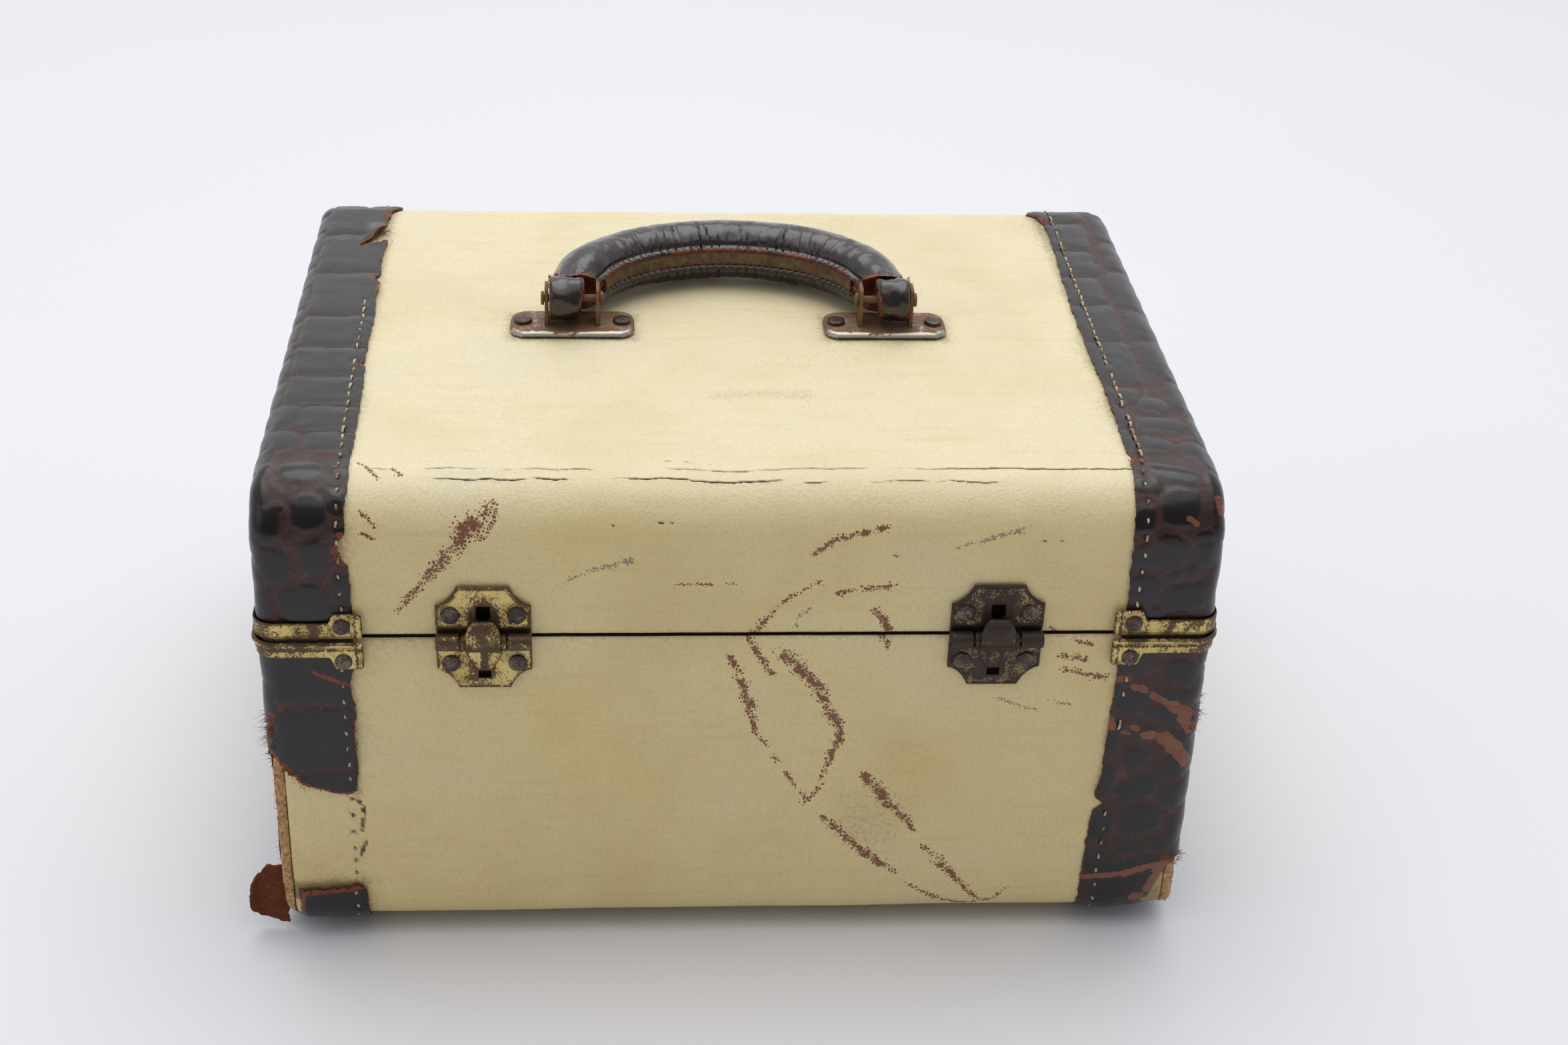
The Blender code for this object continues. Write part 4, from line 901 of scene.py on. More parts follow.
# ---------------------------------------------------------------- leather bindings
# Scales of the embossed pattern: (t, s, half width, half length, turn in degrees, squareness).
SCALES = {
    "lid_left": (
        (13.5, 12.5, 8.6, 8.0, -12, 2.5), (9.3, 31.5, 5.2, 7.0, -16, 2.5), (24.5, 28.0, 7.6, 6.4, 10, 2.5),
        (28.2, 42.5, 8.4, 7.0, 0, 2.6), (11.2, 47.6, 6.0, 6.3, -18, 2.4), (1.6, 51.0, 4.2, 4.4, 0, 2.6),
        (14.2, 64.3, 7.0, 6.1, 0, 2.4), (0.6, 66.2, 3.8, 5.0, 14, 2.5), (1.0, 41.6, 2.3, 2.0, 0, 2.0),
        (21.6, 48.6, 2.8, 2.3, -20, 2.0), (28.6, 56.2, 3.2, 3.6, 0, 2.2), (27.4, 66.6, 2.6, 3.8, 0, 2.2),
        (30.0, 12.5, 5.4, 7.0, 0, 2.5), (0.2, 18.0, 4.4, 5.8, 0, 2.5), (2.0, 7.5, 3.6, 3.4, 0, 2.5),
        (22.6, 84.4, 5.0, 7.2, -6, 4.5), (6.8, 84.0, 8.6, 7.4, 4, 5.0), (7.6, 101.6, 11.0, 8.8, 2, 7.0),
        (23.6, 103.0, 5.0, 9.6, 8, 3.4), (12.0, 123.0, 14.0, 11.2, 1, 8.0),
        (12.0, 146.5, 14.0, 11.4, 2, 8.0),
        (12.0, 172.0, 14.2, 13.2, 0, 8.0), (12.0, 205.4, 14.2, 19.2, -1, 8.0),
        (12.0, 244.0, 14.4, 18.6, 0, 9.0),
        (12.0, 278.0, 14.4, 14.4, 0, 9.0),
    ),
    "lid_right": (
        (13.6, 62.8, 9.6, 3.9, -27, 2.5), (14.6, 49.2, 6.9, 7.0, -12, 2.5), (2.2, 45.0, 4.4, 5.0, 0, 2.5),
        (11.2, 33.0, 6.3, 7.0, 0, 2.4), (3.6, 16.8, 6.2, 5.8, 8, 2.6), (19.2, 14.2, 8.8, 5.6, 14, 2.6),
        (24.0, 31.5, 3.8, 5.0, 0, 2.4), (28.6, 48.2, 3.4, 5.4, 0, 2.4), (13.6, 23.2, 2.8, 2.3, 0, 2.2),
        (9.4, 7.8, 3.4, 2.8, 0, 2.2), (23.0, 38.8, 3.4, 2.4, 0, 2.2), (19.6, 24.2, 2.4, 2.4, 0, 2.2),
        (1.5, 57.5, 3.0, 3.6, 0, 2.4), (6.6, 57.2, 2.0, 3.0, 0, 2.2), (29.0, 16.0, 3.4, 6.0, 0, 2.6),
        (29.5, 30.0, 3.2, 5.0, 0, 2.4), (26.5, 59.5, 2.6, 3.6, 0, 2.2), (1.0, 30.0, 3.2, 5.0, 0, 2.6),
        (10.6, 82.6, 6.8, 5.2, -16, 2.8), (23.2, 79.2, 5.4, 5.6, -10, 2.6),
        (15.4, 97.6, 8.6, 5.4, -12, 3.0),
        (15.8, 112.4, 5.8, 6.2, -8, 2.6), (1.2, 86.0, 3.4, 8.0, 0, 3.0), (0.4, 104.5, 4.4, 8.4, 0, 4.0),
        (5.0, 121.0, 6.6, 6.2, -10, 4.0), (29.4, 96.0, 4.4, 9.0, 0, 3.0), (27.4, 119.0, 4.6, 8.6, -8, 3.4),
        (8.0, 147.5, 8.4, 17.0, 0, 7.0), (26.0, 152.5, 6.6, 13.2, 0, 5.0), (8.2, 182.5, 8.2, 15.4, 0, 7.0),
        (25.8, 180.5, 6.4, 12.2, 0, 5.0), (7.6, 212.5, 7.8, 12.2, 0, 7.0), (25.6, 212.5, 6.6, 16.6, 0, 5.0),
        (8.6, 238.8, 8.6, 11.6, 0, 7.0), (27.0, 246.0, 5.6, 13.8, 0, 5.0), (9.0, 266.0, 9.4, 13.0, 0, 7.0),
        (27.6, 275.0, 5.2, 12.4, 0, 5.0), (10.0, 288.5, 10.0, 7.0, 0, 6.0),
    ),
    "base_left": (
        (12.0, 13.2, 16.4, 12.8, -3, 9.0), (12.0, 41.0, 15.6, 12.2, 2, 9.0),
        (12.0, 66.0, 15.6, 10.6, 2, 9.0),
        (12.0, 115.0, 16.0, 15.0, 0, 9.0),
    ),
    "base_right": (
        (21.6, 15.0, 7.6, 5.2, 16, 2.6), (21.0, 26.0, 8.0, 3.0, 12, 2.4), (4.8, 27.4, 6.0, 5.8, 12, 2.4),
        (17.6, 33.0, 8.8, 3.4, 10, 2.4), (9.2, 52.0, 4.8, 4.6, 0, 2.4), (23.4, 56.0, 7.0, 4.6, -6, 2.5),
        (10.0, 65.2, 7.0, 5.2, -6, 2.5), (24.4, 68.6, 5.4, 5.2, 0, 2.5), (13.4, 79.8, 7.8, 6.4, 0, 2.4),
        (28.0, 85.0, 4.2, 6.8, 8, 2.5), (11.8, 91.8, 6.4, 3.0, 0, 2.5), (21.6, 91.4, 2.6, 2.8, 0, 2.2),
        (-0.6, 82.0, 4.2, 6.0, 0, 2.6), (4.0, 10.0, 6.4, 5.8, 10, 2.5), (-1.0, 42.0, 3.6, 7.0, 0, 2.6),
        (-1.6, 61.0, 3.8, 7.0, 0, 2.6), (12.0, 107.0, 15.0, 9.0, 0, 6.0), (11.0, 41.5, 5.4, 2.8, 0, 2.4),
        (23.6, 43.6, 6.0, 4.0, 0, 2.4), (12.0, 4.0, 4.0, 3.0, 0, 2.4), (-2.0, 99.0, 3.6, 6.0, 0, 2.6),
        (-1.0, 23.5, 2.6, 4.0, 0, 2.4), (2.0, 92.5, 2.4, 3.2, 0, 2.4),
    ),
}
SEEN_UNTIL = {"lid_left": 292, "lid_right": 294, "base_left": 130, "base_right": 116}

# The inner edge of each strip: (s, t) with t measured from the CAD binding's own edge.
INNER_EDGE = {
    "lid_left": ((0, -2.0), (20, -2.2), (27, -1.6), (30, 0.6), (34, 1.8), (38, 0.4), (40, -1.4), (43, -1.4),
                 (48, -1.2),
                 (60, -2.1), (72, -1.5), (80, -1.8), (95, -1.6), (120, -1.2), (142, -0.6), (145.5, 2.0),
                 (147, 0.0),
                 (160, 0.2), (185, -0.2), (200, 0.6), (216, 0.4), (220, 2.4), (224, 1.0), (240, 1.2),
                 (258, 0.4),
                 (262, 1.6), (275, 2.4), (288, 0.6), (294, -3.0), (300, -1.0), (360, -1.2)),
    "lid_right": ((0, -1.5), (20, -1.4), (45, -1.6), (60, -0.8), (66, 0.2), (70, -0.6), (74, 0.6),
                  (80, -0.3), (100, 0.6),
                  (127, 0.8), (160, 0.3), (191, 0.3), (227, 1.4), (245, 2.2), (264, 3.0), (280, 2.5),
                  (287, 0.4),
                  (291, -3.2), (294, -1.0), (360, -1.0)),
    "base_left": ((0, -1.8), (12, -1.7), (16, -0.4), (24, 0.0), (27, -1.2), (33, -1.0), (40, 0.0),
                  (45, -0.9), (52, -1.0),
                  (58, -0.4), (63, 0.2), (104, 0.2), (108, -1.0), (118, -1.4), (140, -1.2), (503, -1.0)),
    "base_right": ((0, -1.6), (20, -2.0), (40, -2.6), (60, -2.9), (68.5, -4.5), (70, -3.8), (72.5, -0.9),
                   (75.5, -4.8),
                   (90, -5.7), (105, -6.2), (117, -6.4), (140, -5.0), (200, -3.0), (503, -1.5)),
}

# Torn and rubbed places: (t, s) points and half width, in millimetres.
SCUFFS = {
    "lid_left": (),
    "lid_right": (((17, 45), (20, 43), 1.1),),
    "base_left": (),
    "base_right": (
        ((-2, 18), (2, 17.6), 1.6), ((5, 21), (9, 22.5), 1.5), ((12, 25), (16, 27), 1.6),
        ((19, 29), (26, 33), 2.6),
        ((24, 35), (27, 39), 2.6), ((-2.4, 35), (-1, 38), 1.8), ((6, 38.6), (8, 39), 1.4),
        ((11, 41.5), (13.5, 42), 2.2),
        ((18, 43), (23, 48), 3.2), ((22, 47), (27, 53), 3.0), ((3, 40.5), (5, 41), 1.0),
        ((-5.6, 105.5), (10, 103.5), 1.3),
        ((10, 103.5), (26, 100.5), 1.7), ((26, 103), (27, 112), 3.6), ((18, 116), (24, 117), 2.4),
    ),
}
TEARS = {
    "lid_left": (((0, 30), (1.5, 34), 2.2), ((0.6, 38), (0.2, 40), 1.2), ((2, 145), (3.5, 145), 1.3),
                 ((2.6, 219), (4.4, 220.5), 1.6),
                 ((0.6, 205), (1.2, 216), 0.9), ((2, 264), (2.4, 288), 1.4),
                 ((11, 251.5), (2.5, 265.5), 1.5)),
    "lid_right": (((-1, 70.5), (3, 73), 1.5), ((28, 52), (29, 47), 1.8), ((0.5, 112), (0.8, 112.6), 0.9),
                  ((-2, 289), (3.4, 281), 1.6)),
    "base_left": (((1.5, 17.5), (8, 14.8), 1.0), ((8, 14.8), (12.6, 12.2), 0.8), ((28, 31), (32, 44), 1.6),
                  ((24, 54), (30, 47), 1.8),
                  ((-1, 33), (-0.6, 46), 0.8), ((25, 108.5), (3, 106), 1.5), ((26, 110), (28, 117), 2.0)),
    "base_right": (((24, 97.4), (30, 98.6), 1.6), ((27.6, 38.6), (29, 40), 1.1)),
}
# Where leather is gone: closed (t, s) outlines.
GONE = {
    "base_left": ((-6, 62.5), (0, 62.6), (2.5, 64), (5, 64), (10, 63), (15, 61.6), (19, 60), (21, 57),
                  (24, 55), (26, 52),
                  (27.5, 48.5), (31, 47.5), (36, 52), (41, 60), (43, 75), (42, 90), (39, 101), (33, 106.5),
                  (25, 107.4),
                  (15, 107), (5, 106), (3, 104.6), (0.5, 106), (-6, 105.5)),
    "lid_left": ((12, 250.8), (6, 254), (1.6, 256.5), (-6, 257), (-6, 262), (1.4, 266.4), (5, 262)),
}


def more_scales(key, outline):
    """Seeded scales for the parts of a strip that the photo doesn't show: its end face, bottom and back."""
    rnd = random.Random(key)
    extra = []
    for t, wide in ((4, 7.0), (19, 7.2), (31, 5.0), (42, 6.4), (55, 6.6)):
        s = SEEN_UNTIL[key] if t < 30 else 0.0
        while s < outline.length:
            long = rnd.uniform(6, 10)
            extra.append((t + rnd.uniform(-1, 1), s + long, wide + rnd.uniform(-0.5, 0.4), long,
                          rnd.uniform(-8, 8), rnd.uniform(2.6, 5)))
            s += 2 * long + 0.6
    return extra


def scale_field(key, outline, t, s):
    """How far inside a scale each place is, in millimetres, and below 0 in the valleys."""
    wobble_t, wobble_s = t + 0.7 * fbm(t / 6, s / 6, 61), s + 0.7 * fbm(t / 6, s / 6, 67)
    best = np.full(t.shape, -4.0)
    for ct, cs, rt, rs, turn, power in list(SCALES[key]) + more_scales(key, outline):
        reach = 1.4 * max(rt, rs) + 2
        near = (np.abs(t - ct) < reach) & (np.abs(s - cs) < reach)
        if not near.any():
            continue
        a = math.radians(turn)
        dt, ds = wobble_t[near] - ct, wobble_s[near] - cs
        u, v = np.abs(dt * math.cos(a) + ds * math.sin(a)) / rt, np.abs(ds * math.cos(a) - dt
                * math.sin(a)) / rs
        inside = (1 - (u**power + v**power) ** (1 / power)) * min(rt, rs)
        best[near] = np.maximum(best[near], inside)
    return best


def nearness(t, s, lines):
    """1 on any of the (t, s) lines, falling to 0 at their half width times 1.35."""
    value = np.zeros(t.shape)
    for a, b, width in lines:
        value = np.maximum(value, np.clip(1.35 - line_distance(t, s, (a, b))[0] / width, 0, 1))
    return value


def stitch_places(key):
    """(s, t, length) of the stitches along one strip's inner side, and of those that are only short
    ends in a dent."""
    rnd = random.Random(key + "stitch")
    if key == "lid_left":
        line = ((0, 1.5), (60, 1.6), (80, 2.3), (130, 3.5), (180, 4.0), (200, 4.4), (360, 3.0))
        skip, full = ((199, 292),), (76, 350)
    elif key == "lid_right":
        line = ((0, 2.0), (45, 3.0), (60, 2.9), (80, 4.5), (100, 5.0), (190, 5.4), (280, 6.4), (360, 4.0))
        skip, full = ((108, 112),), (76, 350)
    elif key == "base_left":
        line = ((0, 2.4), (60, 2.4), (110, 2.7), (503, 2.5))
        skip, full = ((62, 104),), (200, 450)
    else:
        line = ((0, 2.4), (22, 1.6), (36, 1.1), (47, 0.6), (80, 0.0), (117, -0.8), (200, 0.5), (503, 2.0))
        skip, full = ((50, 76),), (26, 48)
    outline = LID if key.startswith("lid") else BASE
    s, places = 4.5 + rnd.random(), []
    while s < outline.length - 5:
        at = np.interp(s, *zip(*line))
        if not any(a < s < b for a, b in skip) and rnd.random() > 0.04:
            whole = full[0] < s < full[1]
            length = rnd.uniform(3.4, 4.6) if whole else rnd.uniform(1.4, 2.4)
            places.append((s, at + rnd.uniform(-0.25, 0.25), length, whole))
        s += rnd.uniform(6.0, 6.9) if key != "lid_right" or s < 76 else rnd.uniform(5.0, 5.7)
    return places


def binding(key, body):
    """One leather strip: embossed relief, uneven inner edge, stitch dents, tears cut right through."""
    outline = LID if key.startswith("lid") else BASE
    side = -1 if key.endswith("left") else 1
    on_lid = outline is LID
    fine, coarse = 0.85, 1.9
    if on_lid:
        rows = spaced((0, 92, fine), (92, 250, 1.3), (250, 292, 1.0), (292, outline.length, coarse))
    else:
        rows = spaced((0, 122, fine), (122, outline.length, 2.2))
    columns = spaced((0, 36, 0.9), (36, STRIP_LENGTH, 1.7))
    s, t = np.meshgrid(rows, columns, indexing="ij")
    edge_s, edge_t = zip(*INNER_EDGE[key])
    edge = np.interp(rows, edge_s, edge_t) + 0.28 * fbm(rows / 3.1, rows * 0,
                                                        71 + len(key)) + 0.15 * fbm(rows / 0.9, rows * 0,
                                                                75)
    t = np.where(t < STRIP, edge[:, None] + t * (STRIP - edge[:, None]) / STRIP, t)
    inside = scale_field(key, outline, t, s)
    groove = 1 - smooth(-0.25, 0.7, inside)
    deep = 0.5 if on_lid else 0.42
    lift = -deep * (1 - smooth(-0.7, 0.8, inside)) + 0.3 * smooth(0, 5, inside) - 0.12
    lift += 0.12 * fbm(t / 2.2, s / 1.6, 81) * groove + 0.05 * fbm(t / 5, s / 5, 85)
    hole = np.zeros(t.shape)
    for at_s, at_t, length, _ in stitch_places(key):
        near = (np.abs(s - at_s) < 5) & (np.abs(t - at_t) < 4)
        gap = np.hypot((t[near] - at_t) / 1.1, np.maximum(np.abs(s[near] - at_s) - length * 0.35, 0))
        lift[near] -= 0.42 * np.exp(-((gap / 1.0) ** 2))
        hole[near] = np.maximum(hole[near], np.exp(-((gap / 0.8) ** 2)))
    lift -= 0.3 * np.exp(-(((t - edge[:, None]) / 1.0) ** 2))
    seam = np.minimum(s, outline.length - s)
    lift -= 0.5 * np.clip(1 - seam / 1.0, 0, 1) ** 2
    values = {"groove": np.clip(groove * (0.75 + 0.25 * fbm(t / 3, s / 3, 88)), 0, 1),
              "scuff": nearness(t, s, SCUFFS[key]),
              "tear": nearness(t, s, TEARS[key]), "hole": hole, "gloss": np.zeros(t.shape)}
    ragged = smooth(1.1, 0.2, t - edge[:, None]) * smooth(-0.1, 0.8, fbm(s / 5, t * 0, 90))
    values["tear"] = np.maximum(values["tear"], 0.62 * ragged)
    if on_lid:
        values["gloss"] = smooth(76, 66, s) * smooth(20, 45, s)
    points, normals = on_strip(outline, side, t, s, lift)
    if key == "base_right":
        worn = smooth(96, 101, s) * smooth(134, 120, s) * smooth(8, 26, t)
        points[..., 0] -= 7.0 * worn * smooth(96, 116, s)
        points[..., 2] += 1.6 * worn
    if key == "base_left":
        worn = smooth(100, 106, s) * smooth(134, 120, s) * smooth(16, 30, t)
        points[..., 0] += 5.0 * worn
    flip = (side > 0) != (not on_lid)
    verts, faces, flat = points.reshape(-1,
                                        3), grid_faces(len(rows), len(columns),
                                                       flip=flip), {k: v.ravel() for k, v in values.items()}
    if key in GONE:
        torn = inside_distance(t, s, GONE[key]) + 0.45 * fbm(t / 1.8, s / 1.8, 93) + 0.25 * fbm(t / 0.7,
                s / 0.7, 95)
        flat["tear"] = np.maximum(flat["tear"], np.clip(1.25 + torn.ravel() / 1.1, 0, 1) * 0.9)
        if key == "lid_left":
            curl = smooth(256, 262, s) * smooth(14, 0, s - 262) * smooth(12, 2, t)
            verts = (points + normals * (3.4 * curl)[..., None]).reshape(-1, 3)
        verts, faces, flat = cut_away(verts, faces, -torn.ravel(), flat)
    obj = make(key.replace("_", "_leather_"), verts, faces, [LEATHER_FACE, RAW], body,
               (key.replace("_", "_binding_"),), flat)
    return finish_mesh(solidify(obj, LEATHER, 1, 1), 50)


def thread_piece(key, body):
    """Every stitch of one strip, as short bowed lengths of twisted thread."""
    outline = LID if key.startswith("lid") else BASE
    side = -1 if key.endswith("left") else 1
    rnd = random.Random(key + "thread")
    verts, faces = [], []
    for s, t, length, whole in stitch_places(key):
        lean, thick = rnd.uniform(-0.25, 0.25), rnd.uniform(0.42, 0.58) if whole else rnd.uniform(0.4, 0.55)
        rings, sides, start = 7, 8, len(verts)
        for i in range(rings):
            f = i / (rings - 1)
            (middle, normal) = on_strip(outline, side, t + lean * (f - 0.5) * 2, s + (f - 0.5) * length,
                                        -0.55 + (0.72 if whole else 0.5) * math.sin(f * math.pi) ** 0.6)
            ahead = on_strip(outline, side, t + lean * (f - 0.5) * 2,
                             s + (f - 0.5) * length + 0.05)[0] - middle
            across = np.cross(normal, ahead)
            across /= np.linalg.norm(across)
            radius = thick * (0.35 + 0.65 * math.sin(min(max(f, 0.06), 0.94) * math.pi) ** 0.4)
            for k in range(sides):
                a = 2 * math.pi * k / sides + f * 1.5
                bulge = radius * (1 + 0.12 * math.cos(2 * a + f * 9))
                verts.append(middle + across * math.cos(a) * bulge + normal * math.sin(a) * bulge * 0.8)
        faces += [[start + v for v in q] for q in grid_faces(rings, sides, wrap=True)]
        faces.append([start + k for k in range(sides)])
        faces.append([start + (rings - 1) * sides + k for k in reversed(range(sides))])
    obj = make(key.replace("_", "_stitches_"), verts, faces, THREAD, body)
    return obj


# ---------------------------------------------------------------- shared builders for the fittings
def merged(*parts):
    """Several (vertices, faces, attributes) parts as one."""
    names = sorted({n for _, _, values in parts for n in values})
    faces, start = [], 0
    for verts, cells, _ in parts:
        faces += [[start + int(i) for i in cell] for cell in cells]
        start += len(verts)
    values = {n: np.concatenate([v.get(n, np.zeros(len(p))) for p, _, v in parts]) for n in names}
    return np.concatenate([np.asarray(p, float) for p, _, _ in parts]), faces, values


def rings_part(rings, values=None, caps=True):
    """A closed loft through rings of points."""
    rings = np.asarray(rings, float)
    count, sides = rings.shape[:2]
    faces = [list(map(int, q)) for q in grid_faces(count, sides, wrap=True)]
    if caps:
        faces += [list(range(sides)), [(count - 1) * sides + k for k in reversed(range(sides))]]
    return rings.reshape(-1, 3), faces, {k: np.ravel(v) for k, v in (values or {}).items()}


def turned(profile, centre, axis, sides=28, dents=0.04, seed=0):
    """A part turned round an axis from (radius, height) pairs, slightly dented."""
    along = Vector(axis).normalized()
    across = np.array(along.orthogonal().normalized())
    over = np.cross(np.array(along), across)
    rnd = np.random.RandomState(seed)
    wobble = dents * rnd.rand(sides)
    rings = []
    for radius, height in profile:
        ring = []
        for k in range(sides):
            a = 2 * math.pi * k / sides
            r = radius * (1 + (wobble[k] - dents / 2) * (radius > 0.5) * 0.4)
            lift = height + (wobble[(k * 3) % sides] - dents / 2) * min(radius, 1)
            ring.append(np.array(centre) + across * r * math.cos(a) + over * r * math.sin(a)
                        + np.array(along) * lift)
        rings.append(ring)
    return rings_part(rings)


RIVET_HEAD = ((3.25, -0.5), (3.25, 0.25), (3.15, 0.5), (2.9, 0.62), (2.2, 0.7), (1.2, 0.74), (0.3, 0.76))


def rivet_heads(name, places, axis, body, radius=3.25, replaced=()):
    """Flat round rivet heads, each a little different."""
    profile = [(r * radius / RIVET_HEAD[0][0], h) for r, h in RIVET_HEAD]
    parts = []
    for k, place in enumerate(places):
        parts.append(turned(profile, place, axis, seed=len(name) + 5 * k))
    verts, faces, _ = merged(*parts)
    return finish_mesh(make(name, verts, faces, RIVET, body, replaced), 50)


def fibres(name, roots, ways, lengths, body, material, radius=0.13, seed=1):
    """Loose curled fibres: tapered tubes that start at roots and bend as they go."""
    rnd = np.random.RandomState(seed)
    parts = []
    for root, way, length in zip(roots, ways, lengths):
        way = np.array(way, float) / np.linalg.norm(way)
        bend, side = rnd.normal(0, 0.55, 3), np.cross(way, rnd.normal(0, 1, 3))
        side /= np.linalg.norm(side)
        over, rings = np.cross(way, side), []
        for i in range(6):
            f = i / 5
            middle = np.array(root) + way * length * f + bend * length * f * f * 0.8
            thick = radius * (1 - 0.75 * f)
            rings.append([middle + thick * (side * math.cos(a) + over * math.sin(a))
                          for a in (0, 1.571, 3.142, 4.712)])
        parts.append(rings_part(rings))
    verts, faces, _ = merged(*parts)
    return finish_mesh(make(name, verts, faces, material, body), 60)


def torn_fibres(key, body):
    """Fuzz along a strip's tears and round the outlines where its leather is gone."""
    outline = LID if key.startswith("lid") else BASE
    side = -1 if key.endswith("left") else 1
    rnd = np.random.RandomState(len(key) * 3 + side)
    edges = [(a, b) for a, b, _ in TEARS[key]]
    if key in GONE:
        edges += list(zip(GONE[key], GONE[key][1:] + GONE[key][:1]))
    roots, ways = [], []
    for (t0, s0), (t1, s1) in edges:
        for f in np.arange(0, 1, 0.75 / max(math.hypot(t1 - t0, s1 - s0), 0.75)):
            t, at = t0 + (t1 - t0) * f + rnd.normal(0, 0.5), s0 + (s1 - s0) * f + rnd.normal(0, 0.5)
            if -1.5 < t < STRIP_LENGTH - 2:
                root, normal = on_strip(outline, side, t, at, -0.25)
                roots.append(root)
                ways.append(normal * 0.55 + rnd.normal(0, 0.6, 3))
    fibres(f"{key}_torn_fibres", roots, ways, rnd.uniform(0.5, 1.7, len(roots)), body, RAW, 0.13, 64)


def loose_ends():
    """Longer fibres standing off the worn corners, and cut thread ends in the bared cloth's stitch
    holes."""
    rnd = np.random.RandomState(203)
    for name, half, side, rows, count, reach in (
        ("corner_fibres_left", "base", -1, (31, 46), 70, 3.6),
        ("corner_fibres_right", "base", 1, (27, 41), 45, 2.6),
        ("foot_fibres_right", "base", 1, (96, 101), 40, 3.0),
    ):
        outline = BASE
        s, t = rnd.uniform(*rows, count), rnd.uniform(27, 35, count)
        roots, normals = on_strip(outline, side, t, s, -0.2)
        ways = normals + np.array([side * 0.5, 0, -0.1]) + rnd.normal(0, 0.45, (count, 3))
        fibres(name, roots, ways, rnd.uniform(0.8, reach, count), half, RAW, 0.11, 205)
    roots, ways = [], []
    for hole in BARED_HOLES:
        for _ in range(7):
            point, normal = on_cloth(BASE, -STRIP_START - HOLE_INSET + rnd.normal(0, 0.45),
                                     hole + rnd.normal(0, 0.35), -0.3)
            roots.append(point)
            ways.append(normal * 0.9 + rnd.normal(0, 0.6, 3))
    fibres("cut_thread_ends", roots, ways, rnd.uniform(0.9, 1.9, len(roots)), "base", THREAD, 0.2, 207)


def curled_scrap():
    """The scrap of leather that has peeled off the lower front left corner, suede side to the front."""
    outline = [(-176.2, 11.5), (-175.2, 19.5), (-171.6, 27.1), (-168.2, 29.2), (-163.4, 28.0),
               (-162.6, 17.0), (-162.8, 3.5),
               (-167.5, 3.9), (-173.0, 6.5)]
    x, z = np.meshgrid(np.arange(-177, -161.9, 0.4), np.arange(2.5, 30.2, 0.4), indexing="ij")
    away = (-163 - x) / 13
    y = -125.0 + 1.8 * away - 3.2 * smooth(0.55, 1.05,
                                           away) ** 2 - 1.3 * np.sin((z - 5) / 8) * away + 0.3 * fbm(x / 3,
                                                   z / 3, 211)
    edge = inside_distance(x, z, outline) + 0.5 * fbm(x / 2.2, z / 2.2, 213)
    verts = np.stack([x, y, z], -1).reshape(-1, 3)
    verts, faces, values = cut_away(verts, grid_faces(*x.shape), edge.ravel(),
                                    {"scuff": 0.3 * smooth(1.6, 0.2, edge).ravel()})
    obj = make("curled_leather_scrap", verts, faces, [RAW, LEATHER_FACE], "base",
               attributes=values)
    finish_mesh(solidify(obj, 1.1, 1, 0), 60)


# ---------------------------------------------------------------- latches
LATCH_X = box("hasp_right")[0][0] / 2 + box("hasp_right")[1][0] / 2
AXIS_Y, AXIS_Z = -133.3, 130.5
PLATE_BACK = box("latch_plate_lower_right")[1][1]
PLATE_HALF, PLATE_LOW = 16.2, box("latch_plate_lower_right")[0][2]
PLATE_HIGH = box("latch_plate_upper_right")[1][2]
UPPER_FOOT = box("latch_plate_upper_right")[0][2]
UPPER_VALLEY = LID_LOW[2] + 0.35
PLATE_FRONT = 1.2
KNUCKLE_INNER = 8.1
WINDOW, SLOT = (-2.35, 138.8, 2.35, 143.7), (-2.2, 114.8, 2.2, 117.8)


def scooped_corners(far, way):
    """A latch plate's two hollow corners, at its far edge, from the left side to the right one."""
    corner = [(PLATE_HALF, far - way * 7.3), (14.6, far - way * 6.9), (12.6, far - way * 5.6),
              (10.7, far - way * 3.6),
              (9.5, far - way * 1.6), (8.9, far)]
    return [(-u, v) for u, v in corner] + corner[::-1]


def oblong(u, v, box4):
    """Distance inside a rectangle (low u, low v, high u, high v), negative outside."""
    low_u, low_v, high_u, high_v = box4
    return np.minimum(np.minimum(u - low_u, high_u - u), np.minimum(v - low_v, high_v - v))


def barrel(low, high, radius, dark):
    """A rolled knuckle on the latch's axis, eased at both ends."""
    profile = ((low, -0.35), (low + 0.12, -0.12), (low + 0.4, 0.0), ((low + high) / 2, 0.02),
               (high - 0.4, 0.0),
               (high - 0.12, -0.12), (high, -0.35))
    rings = [[(u, AXIS_Y + (radius + ease) * math.cos(a), AXIS_Z + (radius + ease) * math.sin(a))
              for a in np.linspace(0, 2 * math.pi, 40, endpoint=False)] for u, ease in profile]
    count = len(profile) * 40
    verts, faces, values = rings_part(rings, {"dark": np.full(count, dark), "green": np.zeros(count)},
                                      caps=False)
    return verts, [f[::-1] for f in faces], values


def pressed(name, side, u, v, height, level, thick, extra, values, material, body, replaced):
    """Pressed sheet on the case's front: height above the plate's back over (u, v), cut where level
    falls below 0."""
    points = np.stack([u, PLATE_BACK - height, v], -1).reshape(-1, 3)
    flat = {k: np.ravel(np.broadcast_to(x, u.shape)) for k, x in values.items()}
    verts, faces, values = merged(cut_away(points, grid_faces(*u.shape), level.ravel(), flat), *extra)
    verts[:, 0] += side * LATCH_X
    return finish_mesh(solidify(make(name, verts, faces, material, body, replaced, values), thick),
                       38)


